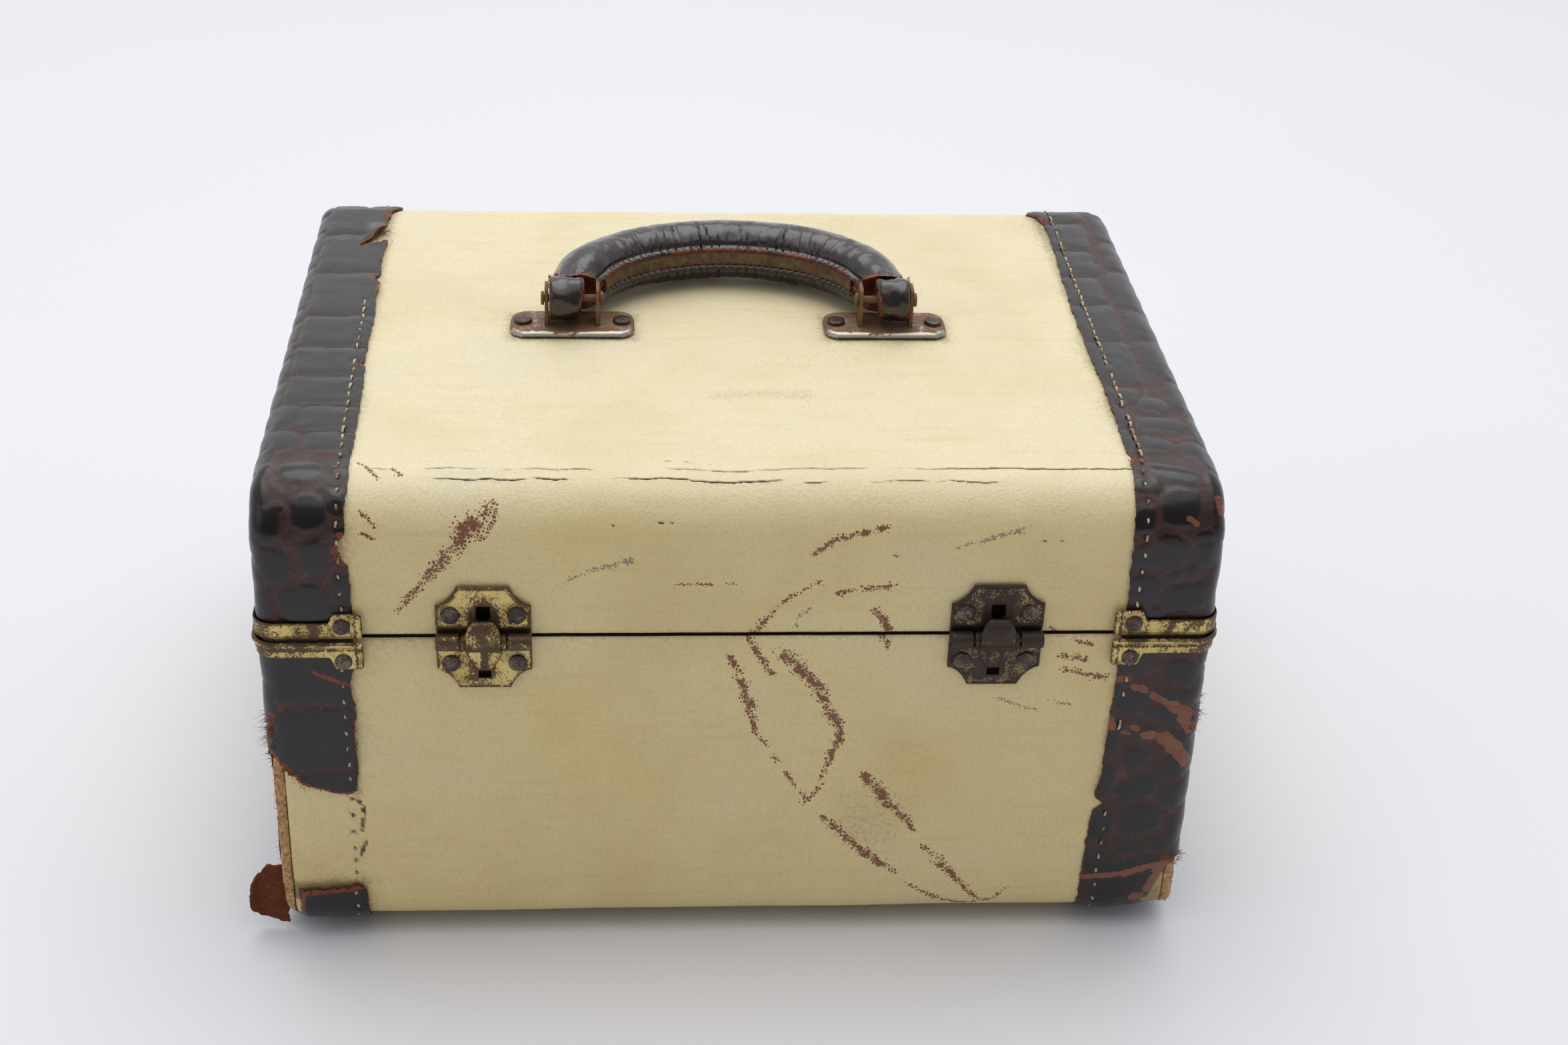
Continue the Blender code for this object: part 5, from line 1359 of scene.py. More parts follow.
def sheet_grid(low_v, high_v, step=0.32):
    """The (u, v) grid a latch plate is pressed from."""
    return np.meshgrid(np.arange(-PLATE_HALF - 0.4, PLATE_HALF + 0.41, step),
                       np.arange(low_v - 0.4, high_v + 0.41, step), indexing="ij")


def latch_plate(side, label, material, upper):
    """One half of a latch: the lid's plate with its window and strike, or the base's with its knuckles
    and slot."""
    if upper:
        u, v = sheet_grid(UPPER_VALLEY, PLATE_HIGH)
        outline = [(PLATE_HALF, UPPER_VALLEY), (-PLATE_HALF, UPPER_VALLEY)] + scooped_corners(PLATE_HIGH, 1)
        hole = WINDOW
    else:
        u, v = sheet_grid(PLATE_LOW, 129.6)
        outline = [(PLATE_HALF, 129.6), (KNUCKLE_INNER, 129.6), (KNUCKLE_INNER, 127.0),
                   (-KNUCKLE_INNER, 127.0),
                   (-KNUCKLE_INNER, 129.6), (-PLATE_HALF, 129.6)] + scooped_corners(PLATE_LOW, -1)
        hole = SLOT
    edge = inside_distance(u, v, outline)
    window = -oblong(u, v, hole)
    rim = edge + 50 * ((v < UPPER_FOOT + 2) if upper else (v > 126.0))
    height = PLATE_FRONT + 0.34 * np.exp(-(((rim - 0.75) / 0.5) ** 2)) - 0.75 * (1
            - smooth(-0.1, 0.55, edge)) ** 2
    height += 0.16 * np.exp(-(((window - 0.5) / 0.4) ** 2)) + 0.05 * fbm(u / 4, v / 4, 101)
    pads = np.zeros(u.shape)
    for x in (-11.3, 11.3):
        pads = np.maximum(pads, smooth(4.4, 3.6, np.hypot(u - x, v - (140.1 if upper else 120.8))))
    height -= 0.12 * pads
    dark = 0.85 * np.exp(-((rim / 0.9) ** 2)) + 0.55 * np.exp(-np.maximum(window, 0) / 2.2)
    if upper:
        ramp = smooth(135.2, 138.3, v) * (np.abs(u) < 2.15) * (v < 138.9)
        height += 2.0 * ramp + 0.5 * smooth(6.4, 5.6, np.abs(u)) * smooth(147.6, 146.4, v) * smooth(134,
                137, v) * 0.5
        height -= 1.0 * smooth(135.2, 132.6, v)
        # Darker at the foot above the barrel: tarnish, and painted shade of the valley between plate and
        # barrel.
        dark += 1.2 * smooth(136.4, 134.4, v) + 0.75 * smooth(6.5, 3.0, np.abs(u)) * smooth(146.5, 142,
                v) + 0.3 * ramp
    else:
        raised = oblong(u, v, (-12.8, 111.9, 12.8, 114.0))
        height += 0.12 * smooth(0, 0.6, raised)
        dark += 0.7 * smooth(125.2, 127.0, v) + 0.35 * smooth(5.0, 2.0, np.abs(u)) * smooth(114, 116, v)
    green = np.zeros(u.shape)
    if side < 0 and not upper:
        green = 1.1 * np.exp(-((np.hypot(u - 10.4, v - 123.4) / 2.6) ** 2))
    if side > 0 and upper:
        green = 0.6 * np.exp(-((np.hypot(u - 10, v - 134.3) / 2.2) ** 2))
    extra = [] if upper else [barrel(-PLATE_HALF, -KNUCKLE_INNER - 0.2, 3.0, 0.62),
                              barrel(KNUCKLE_INNER + 0.2, PLATE_HALF, 3.0, 0.62)]
    half = "upper" if upper else "lower"
    node = f"latch_plate_{half}_{label}"
    pressed(node + "_sheet", side, u, v, height, np.minimum(edge, window), 0.75, extra,
            {"dark": np.clip(dark, 0, 1.3), "green": green},
            material, "lid" if upper else "base", (node,))


def shield(side, label, material):
    """The tapered, embossed leaf under the hasp."""
    u, v = np.meshgrid(np.arange(-6.6, 6.61, 0.3), np.arange(117.6, 127.2, 0.3), indexing="ij")
    edge = inside_distance(u, v, ((-2.4, 118.1), (2.4, 118.1), (3.4, 119.2), (6.1, 124.4), (6.1, 126.9),
                                  (-6.1, 126.9), (-6.1, 124.4), (-3.4, 119.2)))
    height = 1.72 + 0.3 * smooth(0, 1.0, edge) - 0.35 * (1 - smooth(0, 0.35, edge))
    lane = 1 - smooth(0.9, 1.5, np.abs(u)) if side < 0 else smooth(1.4, 1.9, np.abs(u)) * smooth(3.4, 2.7,
            np.abs(u))
    height -= 0.28 * lane * smooth(119.0, 120.0, v)
    dark = 0.7 * np.exp(-((edge / 0.6) ** 2)) + 0.7 * lane + 0.5 * smooth(124.8, 126, v) + 0.1
    pressed(f"latch_spring_{label}_leaf", side, u, v, height, edge, 0.5, [],
            {"dark": dark, "green": np.zeros(u.shape)},
            material, "base", (f"latch_spring_{label}",))


def hasp(side, label, material):
    """The thumb catch: an arched, crowned cap rolled round the pin, with a lip below and short
    knuckles beside it."""
    half = 6.1
    u, v = np.meshgrid(np.arange(-half - 0.3, half + 0.31, 0.26), np.arange(127.2, 140.9, 0.26),
                       indexing="ij")
    outline = [(-half, 127.6), (half, 127.6), (half, 134.0), (5.95, 135.3), (5.55, 136.8), (4.95, 138.2),
               (4.1, 139.5), (3.4, 140.2)]
    outline += [(-a, b) for a, b in reversed(outline[2:])]
    edge = inside_distance(u, v, outline)
    rise = np.interp(v - AXIS_Z, (-3.2, -2.9, -2.2, -1.4, -0.9, -0.6, 0.2, 1.5, 4.0, 6.6, 9.0, 9.7, 10.2),
                     (1.3, 2.0, 2.9, 3.35, 3.15, 3.3, 4.2, 4.75, 5.0, 4.65, 3.85, 3.3, 2.9))
    top = smooth(129.4, 130.4, v)
    height = PLATE_BACK - AXIS_Y + rise - 0.022 * u * u * top - 0.55 * (1
            - smooth(0, 0.55, edge)) ** 2 * top
    height += 0.16 * np.exp(-(((edge - 0.55) / 0.35) ** 2)) * top + 0.05 * fbm(u / 3, v / 3, 111)
    dark = 0.42 + 0.4 * smooth(131, 129,
                               v) + 0.3 * smooth(2.6, 1.0,
                                                 np.abs(u)) - 0.3 * np.exp(-(((edge
                                                         - 0.5) / 0.35) ** 2)) * top
    extra = [barrel(-7.7, -half + 0.3, 2.75, 0.6), barrel(half - 0.3, 7.7, 2.75, 0.6),
             barrel(-half + 0.1, half - 0.1, 2.85, 0.7)]
    pressed(f"hasp_{label}_cap", side, u, v, height, edge, 0.7, extra,
            {"dark": dark, "green": np.zeros(u.shape)},
            material, f"hasp_{label}", (f"hasp_{label}",))


def recess(name, side, hole, body):
    """A shallow dished near-black plate behind a window in a latch plate: painted shade of the hollow seen
    through it.
    """
    low_u, low_v, high_u, high_v = hole
    u, v = np.meshgrid(np.linspace(low_u - 1.6, high_u + 1.6, 14),
                       np.linspace(low_v - 1.6, high_v + 1.6, 14), indexing="ij")
    depth = 0.12 + 0.06 * smooth(0, 2.4, -oblong(u, v, hole) + 1.6)
    verts = np.stack([u + side * LATCH_X, PLATE_BACK - depth, v], -1).reshape(-1, 3)
    finish_mesh(solidify(make(name, verts, grid_faces(*u.shape), PAINTED_SHADOW, body), 0.1), 40)


def make_latch(side, label):
    """Both plates of one latch, with their rivets and the painted-shadow plates behind their windows, its
    shield and its hasp.
    """
    material = BRASS if side < 0 else BRONZE
    for upper, body, z in ((True, "lid", 140.1), (False, "base", 120.8)):
        latch_plate(side, label, material, upper)
        front = PLATE_BACK - PLATE_FRONT + 0.1
        places = [(side * LATCH_X + x, front, z) for x in (-11.3, 11.3)]
        rivet_heads(f"latch_rivets_{'upper' if upper else 'lower'}_{label}", places, (0, -1, 0), body)
        recess(f"latch_{'window' if upper else 'slot'}_hollow_{label}", side, WINDOW if upper else SLOT,
               body)
    shield(side, label, material)
    hasp(side, label, material)


# ---------------------------------------------------------------- clips round the seam
CLIP_START = 128.8
CLIP_CORNER = END_RADIUS + 1.0
CLIP_FRONT_RUN = HALF_WIDTH + 1.0 - CLIP_CORNER - CLIP_START
CLIP_TURN = CLIP_CORNER * math.pi / 2
CLIP_LENGTH = CLIP_FRONT_RUN + CLIP_TURN + 28.2
CLIP_RIVET = 6.8


def on_clip(p, out):
    """Plan position on a clip: p along it from its inner end, out from the leather; x and y for the
    front right one."""
    angle = np.clip((p - CLIP_FRONT_RUN) / CLIP_TURN, 0, 1) * math.pi / 2
    x = CLIP_START + np.minimum(p, CLIP_FRONT_RUN) + (CLIP_CORNER + out) * np.sin(angle)
    y = -HALF_DEPTH - 1.0 + CLIP_CORNER - (CLIP_CORNER
                                           + out) * np.cos(angle) + np.maximum(p - CLIP_FRONT_RUN
                                                   - CLIP_TURN, 0)
    return x, y


def clip(half, end, side, label):
    """A brass clip round one corner at the seam, with rivet tabs at its ends, a rolled lip and dark
    streaks."""
    on_lid, front = half == "lid", end == "front"
    tab = 9.9 if on_lid else 10.9
    seed = 120 + 7 * on_lid + 3 * front + (side > 0)
    p, q = np.meshgrid(spaced((-0.3, 14, 0.34), (14, CLIP_FRONT_RUN, 0.6),
                              (CLIP_FRONT_RUN, CLIP_FRONT_RUN + CLIP_TURN, 0.55),
                              (CLIP_FRONT_RUN + CLIP_TURN, CLIP_LENGTH - 13, 1.0),
                              (CLIP_LENGTH - 13, CLIP_LENGTH + 0.3, 0.4)),
                       np.arange(-0.3, tab + 0.5, 0.33), indexing="ij")
    ends = np.minimum(p, CLIP_LENGTH - p)
    top = 6.2 + (tab - 6.2) * smooth(11.6, 9.2, ends) - 1.2 * (1 - np.clip(ends / 1.3, 0, 1)) ** 2
    edge = np.minimum(np.minimum(q, top - q), ends)
    out = 0.15 - 0.45 * (1 - smooth(0, 0.45, edge)) ** 2 + 0.05 * fbm(p / 6, q / 4, seed)
    if on_lid:
        out += 0.35 * np.exp(-(((q - 0.7) / 0.45) ** 2))
    else:
        out += 0.95 * np.sqrt(np.clip(1 - ((q - 1.05) / 1.1) ** 2, 0, 1))
        if side > 0:
            out += 0.3 * (np.exp(-(((p - 12.6) / 0.3) ** 2))
                          + np.exp(-(((p - 14.2) / 0.3) ** 2))) * (q > 2.2)
    out += 0.4 * np.exp(-(((p - 1.0) / 0.5) ** 2)) * (q > 0.4) * front
    streak = np.abs(p - (16.5 if side < 0 else 19.5) - 0.45 * (q - 3) * (side > 0 and on_lid))
    dark = 0.5 * np.exp(-((edge / 0.45) ** 2)) + 0.8 * np.exp(-((streak / 1.6) ** 2)) * on_lid
    dark += 0.45 * smooth(CLIP_FRONT_RUN - 6, CLIP_FRONT_RUN + 6,
                          p) + 0.3 * smooth(0.1, 0.8, fbm(p / 7, q / 9, seed + 2))
    dark += 0.55 * np.exp(-((np.abs(p - 2.2) / 0.5) ** 2)) + (0.7 * smooth(2.2, 2.9, q)
            * smooth(3.9, 3.1, q) if not on_lid else 0)
    x, y = on_clip(p, out)
    way = 1 if on_lid else -1
    z = (LID_LOW[2] if on_lid else BASE_HIGH[2]) + way * q
    verts = np.stack([side * x, y if front else -y, z], -1).reshape(-1, 3)
    flip = not ((side > 0) ^ front ^ on_lid)
    values = {"dark": np.ravel(dark), "green": np.zeros(dark.size)}
    node = f"{half}_clip_{end}_{label}"
    verts, faces, values = cut_away(verts, grid_faces(*p.shape, flip=flip), edge.ravel(), values)
    finish_mesh(solidify(make(node + "_brass", verts, faces, BRASS, half, (node,), values),
                         0.7), 38)
    rivet_z = z.flat[0] + way * ((5.0 if on_lid else 7.6) + 0.3)
    facing = 1 if front else -1
    near, far = on_clip(CLIP_RIVET, 0.15), on_clip(CLIP_LENGTH - CLIP_RIVET, 0.15)
    for which, (rx, ry), axis in (("inner", near, (0, -facing, 0)), ("outer", far, (side, 0, 0))):
        rivet_heads(f"{node}_rivet_{which}", [(side * rx, facing * ry, rivet_z)], axis, half, 3.0)


# ---------------------------------------------------------------- handle
PIN_X = (box("handle_end_right")[0][0] + box("handle_end_right")[1][0]) / 2
PIN_Y, PIN_Z = 1.0, (box("handle_end_right")[0][2] + box("handle_end_right")[1][2]) / 2
GRIP_REACH = box("handle_grip")[1][1] - 11.3 - PIN_Y
GRIP_RADIUS = 11.3
WELT_HALF, WELT_RAISE = 2.6, 0.7


def grip_frame(f):
    """Middle, inward direction and run of the grip's bent centre line at share f of its sweep."""
    start = math.asin(8.8 / GRIP_REACH)
    angle = start + (math.pi - 2 * start) * f
    middle = np.stack([-PIN_X * np.cos(angle), PIN_Y + GRIP_REACH * np.sin(angle),
                       np.full(np.shape(f), PIN_Z)], -1)
    along = np.stack([PIN_X * np.sin(angle), GRIP_REACH * np.cos(angle), np.zeros(np.shape(f))], -1)
    along /= np.linalg.norm(along, axis=-1, keepdims=True)
    inward = np.stack([along[..., 1], -along[..., 0], np.zeros(np.shape(f))], -1)
    run = np.concatenate([[0], np.cumsum(np.linalg.norm(np.diff(middle, axis=0), axis=-1))])
    return middle, inward, run


def grip_creases(run, turn, whole):
    """Creases across the grip where it bends: short wandering folds on its inner side, deepest near
    the seam."""
    rnd = np.random.RandomState(131)
    depth, s = np.zeros(turn.shape), 0.2 * whole
    while s < 0.83 * whole:
        above = turn > 0
        for sign in (-1, 1):
            reach, lean, width = rnd.uniform(62, 118), rnd.uniform(-2.2, 2.2), rnd.uniform(0.28, 0.5)
            strength = rnd.uniform(0.45, 1.0)
            line = s + lean * (np.abs(turn) - 45) / 60 + 0.8 * fbm(turn / 22, turn * 0 + s, 137)
            fade = smooth(reach, reach - 40,
                          np.abs(turn)) * smooth(16, 26, np.abs(turn)) * (above == (sign > 0))
            depth = np.maximum(depth, strength * fade * np.exp(-(((run - line) / width) ** 2)))
        s += rnd.uniform(2.9, 4.8)
    return depth


def make_grip():
    """The stuffed leather grip with its sewn inner edges, creases and torn ends, and the welt between
    the edges."""
    f = np.linspace(0, 1, 420)
    degrees = np.concatenate([np.linspace(-180, -34, 40, endpoint=False),
                              np.linspace(-34, 34, 44, endpoint=False),
                              np.linspace(34, 180, 40, endpoint=False)])
    middle, inward, run = grip_frame(f)
    whole = run[-1]
    turn = np.broadcast_to(degrees, (len(f), len(degrees)))
    along = np.broadcast_to(run[:, None], turn.shape)
    ends = np.minimum(along, whole - along)
    wide = GRIP_RADIUS - 1.5 * smooth(9, 0, ends)
    tall = GRIP_RADIUS - 2.6 * smooth(12, 0, ends)
    crease = grip_creases(along, turn, whole)
    radians = np.radians(turn)
    off_seam = np.abs(GRIP_RADIUS * np.sin(radians) - WELT_RAISE) + 30 * (np.cos(radians) < 0)
    swell = 0.35 * fbm(along / 14, turn / 50, 141) + 0.12 * fbm(along / 3, turn / 20, 142) - 0.62 * crease
    stitched = np.exp(-(((off_seam - WELT_HALF - 1.05) / 0.8) ** 2))
    swell += stitched * (0.75 + 0.35 * np.cos(along * 2 * math.pi / 3.6)) * smooth(2, 10, ends)
    swell -= 1.5 * smooth(WELT_HALF + 0.5, WELT_HALF, off_seam)
    swell -= 0.5 * np.exp(-(((off_seam - WELT_HALF - 2.6) / 0.6) ** 2))
    u, v = (wide + swell) * np.cos(radians), (tall + swell) * np.sin(radians)
    points = middle[:, None, :] + inward[:, None, :] * u[..., None] + np.array([0, 0, 1.0]) * v[..., None]
    ragged = 1.3 * fbm(turn / 22, along * 0, 143) + 0.5 * fbm(turn / 6, along * 0, 144)
    over_ears = 6.0 * smooth(35, 70, turn) * smooth(150, 115, turn) * smooth(12, 0, ends)
    pull = np.sign(along - whole / 2) * (0.8 * ragged * smooth(4, 0, ends) - over_ears)
    points += np.cross(np.array([0, 0, 1.0]), inward)[:, None, :] * -pull[..., None]
    tear = np.clip(1.25 - ends / (1.6 + 0.8 * ragged.clip(-1, 1)), 0, 1)
    tear = np.maximum(tear, stitched * np.clip(0.5 + 0.35 * fbm(along / 9, turn / 90, 145), 0, 0.85)
                      * (turn > 0))
    tear = np.maximum(tear, 0.5 * smooth(WELT_HALF + 0.7, WELT_HALF, off_seam))
    hollow = {0: [], -1: []}
    for where, way in ((0, 1), (-1, -1)):
        inwards = np.cross(np.array([0, 0, 1.0]), inward[where]) * way
        for scale, depth in ((0.84, 0.4), (0.6, 1.6), (0.25, 2.6), (0.02, 3.0)):
            hollow[where].append(middle[where] + (points[where] - middle[where]) * scale + inwards * depth)
    rings = hollow[0][::-1] + list(points) + hollow[-1]
    padding = ((4, 4), (0, 0))
    values = {"groove": np.pad(crease * 0.7, padding), "tear": np.pad(tear, padding, constant_values=1.0)}
    verts, faces, values = rings_part(rings, values)
    finish_mesh(make("grip_leather", verts, faces, GRIP_LEATHER, "handle",
                     ("handle_grip",), values), 60)
    make_welt()
    rnd = np.random.RandomState(151)
    for where, label in ((4, "left"), (-5, "right")):
        edge = points[where]
        outwards = (edge - middle[where]) / np.linalg.norm(edge - middle[where], axis=-1)[:, None]
        back = np.cross(np.array([0, 0, 1.0]), inward[where]) * (1 if where > 0 else -1)
        picks = rnd.randint(0, len(edge), 130)
        ways = outwards[picks] * 0.45 + back * rnd.uniform(0.2, 1.0, (130, 1)) + rnd.normal(0, 0.45,
                (130, 3))
        fibres(f"grip_fray_{label}", edge[picks] - outwards[picks] * 0.4, ways, rnd.uniform(0.5, 1.4, 130),
               "handle", RAW, 0.17, 152)


def make_welt():
    """The khaki strip let in along the inside of the grip, between the sewn edges."""
    f = np.linspace(0.045, 0.955, 260)
    middle, inward, run = grip_frame(f)
    across = np.linspace(-WELT_HALF - 0.5, WELT_HALF + 0.5, 17)
    v, along = np.broadcast_arrays(across[None, :], run[:, None])
    rise = 10.75 - 0.02 * v * v + 0.16 * fbm(along / 5, v / 2,
                                             161) - 0.3 * smooth(WELT_HALF - 0.7, WELT_HALF + 0.3,
                                                     np.abs(v))
    rise += 0.18 * np.cos(along * 2 * math.pi / 3.6) * smooth(WELT_HALF - 1.5, WELT_HALF, np.abs(v))
    up = (v + WELT_RAISE)[..., None]
    points = middle[:, None, :] + inward[:, None, :] * rise[..., None] + np.array([0, 0, 1.0]) * up
    groove = 0.75 * smooth(WELT_HALF - 0.8, WELT_HALF,
                           np.abs(v)) + 0.5 * smooth(0.2, 0.9, fbm(along / 11, v / 3, 163))
    obj = make("grip_welt", points.reshape(-1, 3), grid_faces(*v.shape), WELT, "handle",
               ("handle_welt",),
               {"groove": groove.clip(0, 1)})
    finish_mesh(solidify(obj, 1.0), 50)


def handle_loop(side, label):
    """The leather tongue round one pin, lying against the outer ear, with a torn edge."""
    low, high = (-8.5, 3.4) if side < 0 else (-2.6, 8.5)
    angles = np.linspace(0, 2 * math.pi, 64, endpoint=False)
    profile = [(low, 2.4), (low, 6.6), (low + 0.15, 7.9), (low + 0.8, 8.35)]
    profile += [(x, 8.5) for x in np.linspace(low + 1.8, high - 1.8, 9)]
    profile += [(high - 0.8, 8.3), (high - 0.15, 7.7), (high, 6.4), (high, 2.4)]
    rings, tears, grooves = [], [], []
    for x, radius in profile:
        droop = np.sin(angles)
        free = (x - low) / (high - low) if side < 0 else (high - x) / (high - low)
        wrinkle = 0.28 * fbm(np.full(64, x / 2.4), angles * 2.2, 171) + 0.18 * np.cos(angles * 5 + x * 0.6)
        r = radius - 0.3 + wrinkle * (radius > 6) - 0.9 * smooth(0.55, 1.0, free) * smooth(0.2, -0.9,
                droop) * (radius > 6)
        push = -side * 1.3 * smooth(0.0, 1.0, droop) * smooth(0.5, 1, free)
        rings.append(np.stack([np.full(64, side * PIN_X + x) + push, PIN_Y - r * np.cos(angles),
                               PIN_Z + r * droop], -1))
        edge = np.clip(1.3 - min(x - low, high - x) / 0.9, 0, 1)
        tears.append(np.full(64, edge) * (0.55 + 0.4 * fbm(angles * 2, angles * 0 + x, 173)) + (side > 0)
                     * 0.5 * np.exp(
            -(((angles + 0.5 * (x - low) / 4 - 5.9) / 0.16) ** 2)))
        grooves.append(np.clip(wrinkle * 0.6, 0, 1))
    verts, faces, values = rings_part(rings,
                                      {"tear": np.array(tears).clip(0, 1), "groove": np.array(grooves)})
    node = f"handle_end_{label}"
    finish_mesh(make(node + "_loop", verts, faces, GRIP_LEATHER, "handle", (node,),
                     values), 50)
    rnd = np.random.RandomState(175 + side)
    count = 70
    edge_x = np.where(rnd.rand(count) < 0.5, low, high) + side * PIN_X
    a = rnd.uniform(0.9, 2.2, count) if side < 0 else rnd.uniform(-0.6, 2.2, count)
    roots = np.stack([edge_x, PIN_Y - 7.8 * np.cos(a), PIN_Z + 7.8 * np.sin(a)], -1)
    ways = np.stack([rnd.normal(0, 0.5, count), -np.cos(a) + rnd.normal(0, 0.3, count), np.sin(a)], -1)
    fibres(f"handle_fray_{label}", roots, ways, rnd.uniform(0.4, 1.1, count), "handle", RAW, 0.16, 177)


def handle_plate(label):
    """The pillow-edged cover plate, with slots for the ears."""
    node = f"handle_plate_{label}"
    low, high = box(node)
    centre_x, centre_y = (low[0] + high[0]) / 2, (low[1] + high[1]) / 2
    half_x, half_y, rise = (high[0] - low[0]) / 2, (high[1] - low[1]) / 2, high[2] - low[2]
    u, v = np.meshgrid(np.arange(-half_x - 0.3, half_x + 0.31, 0.42),
                       np.arange(-half_y - 0.3, half_y + 0.31, 0.42), indexing="ij")
    cut_x, cut_y = 4.6, 5.2
    outline = [(half_x - cut_x, -half_y), (half_x - 1.6, -half_y + 1.9), (half_x - 0.4, -half_y + 3.8),
               (half_x, -half_y + cut_y + 1.2)]
    outline += [(a, -b) for a, b in reversed(outline)]
    outline += [(-a, b) for a, b in reversed(outline)]
    edge = inside_distance(u, v, outline)
    slots = np.maximum(*(oblong(u, v, (way * 9.6 - 0.75, -4.6, way * 9.6 + 0.75, 4.6)) for way in (-1, 1)))
    roll = np.clip(edge / 2.4, 0, 1)
    height = 0.35 + (rise - 0.35) * np.sqrt(np.clip(1 - (1 - roll) ** 2, 0, 1)) + 0.05 * fbm(u / 5, v / 5,
            181)
    for way in (-1, 1):
        height -= 0.15 * smooth(4.6, 3.9, np.hypot(u - way * 18.6, v))
    height += 0.1 * np.exp(-(((slots + 0.5) / 0.4) ** 2))
    bright = 1.2 * smooth(2.2, 0.6, edge) * smooth(-4, -8, v) * smooth(-0.9, 0.2, fbm(u / 3, v / 3, 183))
    dark = 0.8 * smooth(11, 7, np.abs(u)) * (np.abs(v) < 9) + 0.4 * smooth(2.5, 0, edge) * (v > -4)
    points = np.stack([u + centre_x, v + centre_y, low[2] + height], -1).reshape(-1, 3)
    verts, faces, values = cut_away(points, grid_faces(*u.shape), np.minimum(edge, -slots).ravel(),
                                    {"dark": np.ravel(dark), "bright": np.ravel(bright)})
    finish_mesh(solidify(make(node + "_cover", verts, faces, NICKEL, "lid", (node,),
                              values), 0.9), 38)


def make_handle():
    """The grip and both of its ends, with their plates and rivets."""
    make_grip()
    for side, label in ((-1, "left"), (1, "right")):
        handle_loop(side, label)
        handle_plate(label)
        for where, way in (("outer", side), ("inner", -side)):
            node = f"handle_rivet_{label}_{where}"
            place = (side * PIN_X + way * 18.6, PIN_Y, box(node)[1][2] - 0.78)
            rivet_heads(node + "_head", [place], (0, 0, 1), "lid", 3.4, (node,))
            stem = [(1.5, box(node)[0][2] - place[2]), (1.5, -0.6)]
            verts, faces, _ = turned(stem, place, (0, 0, 1), 16)
            finish_mesh(make(node + "_stem", verts, faces, RIVET, "lid"), 50)


# ---------------------------------------------------------------- feet, pocket and inside
FOOT = ((0.4, 0.0), (2.6, 0.05), (4.3, 0.35), (5.8, 1.0), (6.9, 2.1), (7.4, 3.2), (7.5, 4.0), (7.5, 4.7))


def make_feet():
    """Domed steel glides, worn bright where they stand."""
    for end in ("front", "rear"):
        for label in ("left", "right"):
            node = f"foot_{end}_{label}"
            low, high = box(node)
            centre = ((low[0] + high[0]) / 2, (low[1] + high[1]) / 2, low[2])
            verts, faces, _ = turned(FOOT, centre, (0, 0, 1), 36, 0.02, len(node))
            worn = [float(p[2] < low[2] + 0.5) for p in verts]
            finish_mesh(make(node + "_glide", verts, faces, NICKEL, "base", (node,),
                             {"bright": worn}), 40)


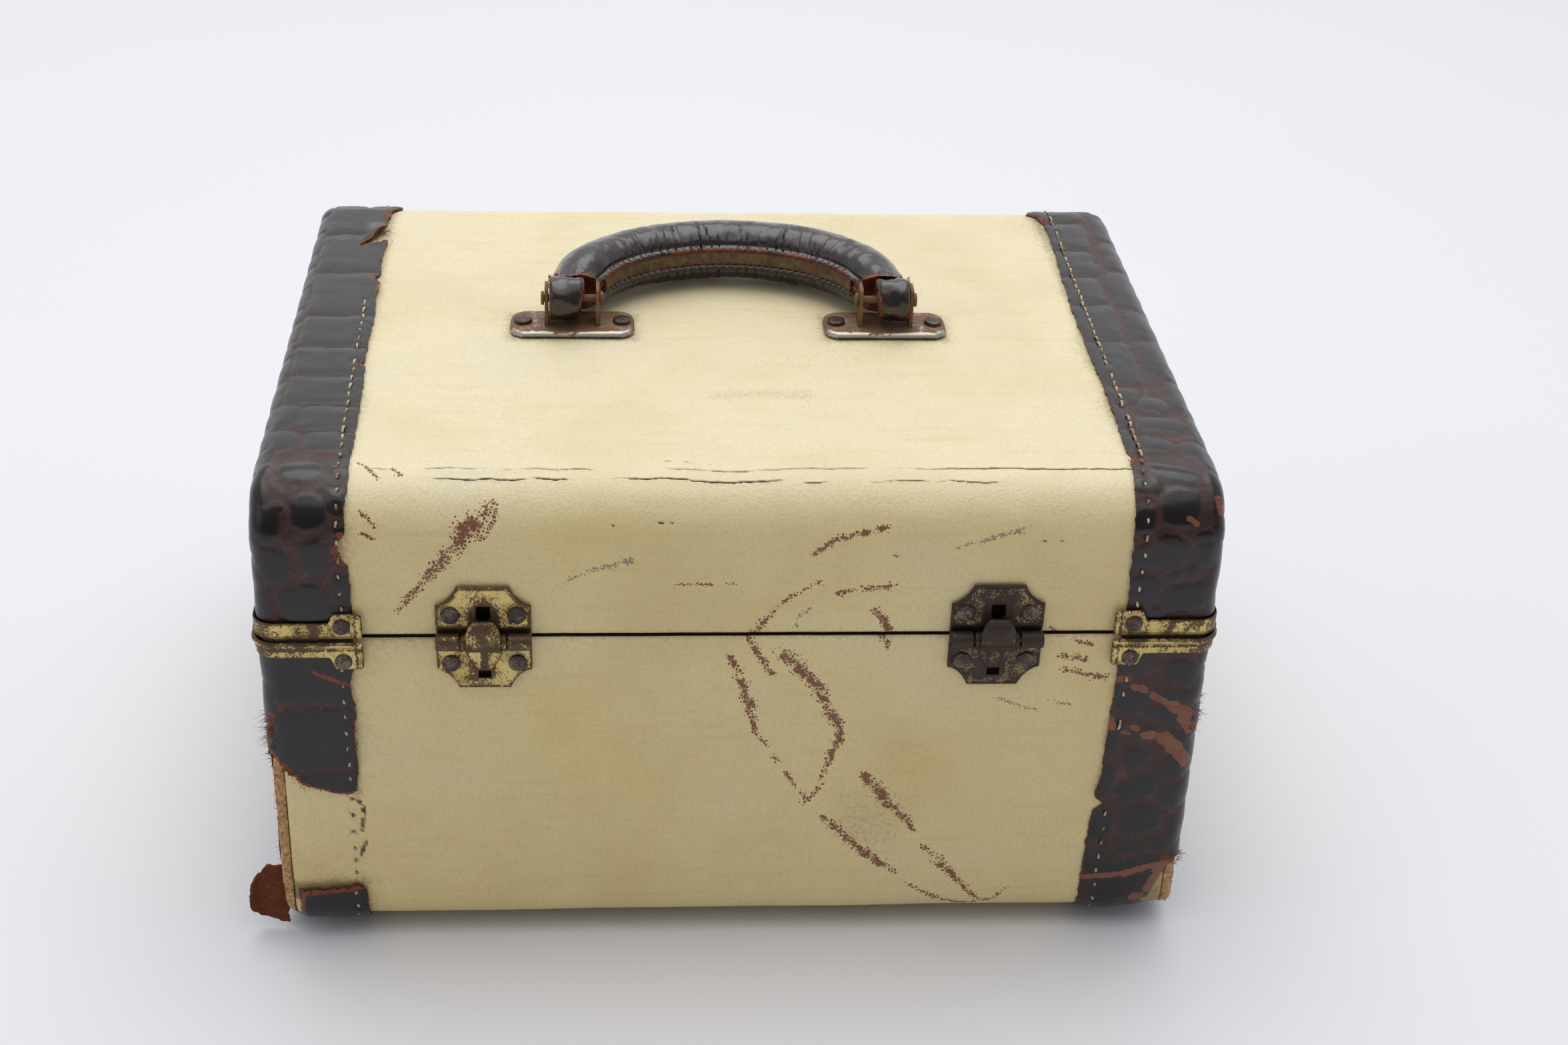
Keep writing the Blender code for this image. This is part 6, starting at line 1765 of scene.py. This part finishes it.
def make_pocket():
    """The gathered cloth pocket on the base's back wall, puckered under an elastic top hem."""
    low, high = box("rear_pocket")
    x, z = np.meshgrid(np.linspace(low[0], high[0], 330), np.linspace(low[2], high[2], 64), indexing="ij")
    up = (z - low[2]) / (high[2] - low[2])
    phase = x / 9.5 + 0.55 * fbm(x / 26, z * 0, 191)
    folds = np.sin(2 * math.pi * phase + 0.5 * fbm(x / 20, z / 30, 193))
    ends = np.minimum(x - low[0], high[0] - x)
    gather = smooth(0.25, 0.86, up) * smooth(0, 12, ends)
    hem = np.exp(-(((up - 0.9) / 0.035) ** 2))
    belly = 7.2 * np.sin(math.pi * np.clip(up, 0, 1)) ** 0.8 * smooth(0, 26, ends)
    stand = 1.6 + belly + (1.9 + 0.5 * fbm(x / 15, z / 15, 195)) * gather * (1 + folds) * (1 - 0.75
            * hem) + 0.35 * fbm(x / 18, z / 12, 197)
    stand = np.minimum(stand, 12.2) * smooth(-0.6, 2.0, ends) + 0.5
    points = np.stack([x, high[1] - stand, z], -1)
    obj = make("pocket_cloth", points.reshape(-1, 3), grid_faces(*x.shape), LINING, "base",
               ("rear_pocket",))
    finish_mesh(solidify(obj, 0.6), 60)


def finish_nodes():
    """The carried-over CAD nodes whose shape is right take the detailed materials."""
    kept = ((PLY, ("base_shell", "lid_shell")), (LINING, ("base_collar", "base_lining", "lid_lining")),
            (BRASS, ("hinge_leaf_base", "hinge_leaf_lid", "hinge_pin")), (BRONZE, ("latch_pin",)),
            (GLASS, ("lid_mirror",)),
            (LEATHER_FACE, ("mirror_frame",)), (RUSTY, ("handle_lug", "handle_core", "handle_pin")))
    for material, stems in kept:
        for name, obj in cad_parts.items():
            if name.startswith(stems):
                for slot in obj.material_slots:
                    slot.material = material


# ---------------------------------------------------------------- the scene
make_camera()
make_studio()
LID_ROWS = spaced((0, 33, 1.1), (33, 56, 0.9), (56, 74, 0.4), (74, 100, 1.2), (100, 290, 2.2),
                  (290, LID.length, 2.2))
BASE_ROWS = spaced((0, 128, 1.1), (128, BASE.length, 3.0))
cloth_wrap("lid_cloth", LID, LID_ROWS, "lid", LID_MARKS, ("lid_covering",))
cloth_wrap("base_cloth", BASE, BASE_ROWS, "base", BASE_MARKS, ("base_covering",))
for side, label in ((-1, "left"), (1, "right")):
    for half, outline in (("lid", LID), ("base", BASE)):
        cloth_end(f"{half}_end_cloth_{label}", outline, side, half)
        rows = spaced((0, 125, 0.6),
                      (125, outline.length, 6)) if outline is BASE else spaced((0, outline.length, 4))
        end_board(f"{half}_end_board_{label}", outline, side, half, rows)
        binding(f"{half}_{label}", half)
        thread_piece(f"{half}_{label}", half)
        torn_fibres(f"{half}_{label}", half)
        for end in ("front", "rear"):
            clip(half, end, side, label)
    make_latch(side, label)
curled_scrap()
loose_ends()
make_handle()
make_feet()
make_pocket()
finish_nodes()
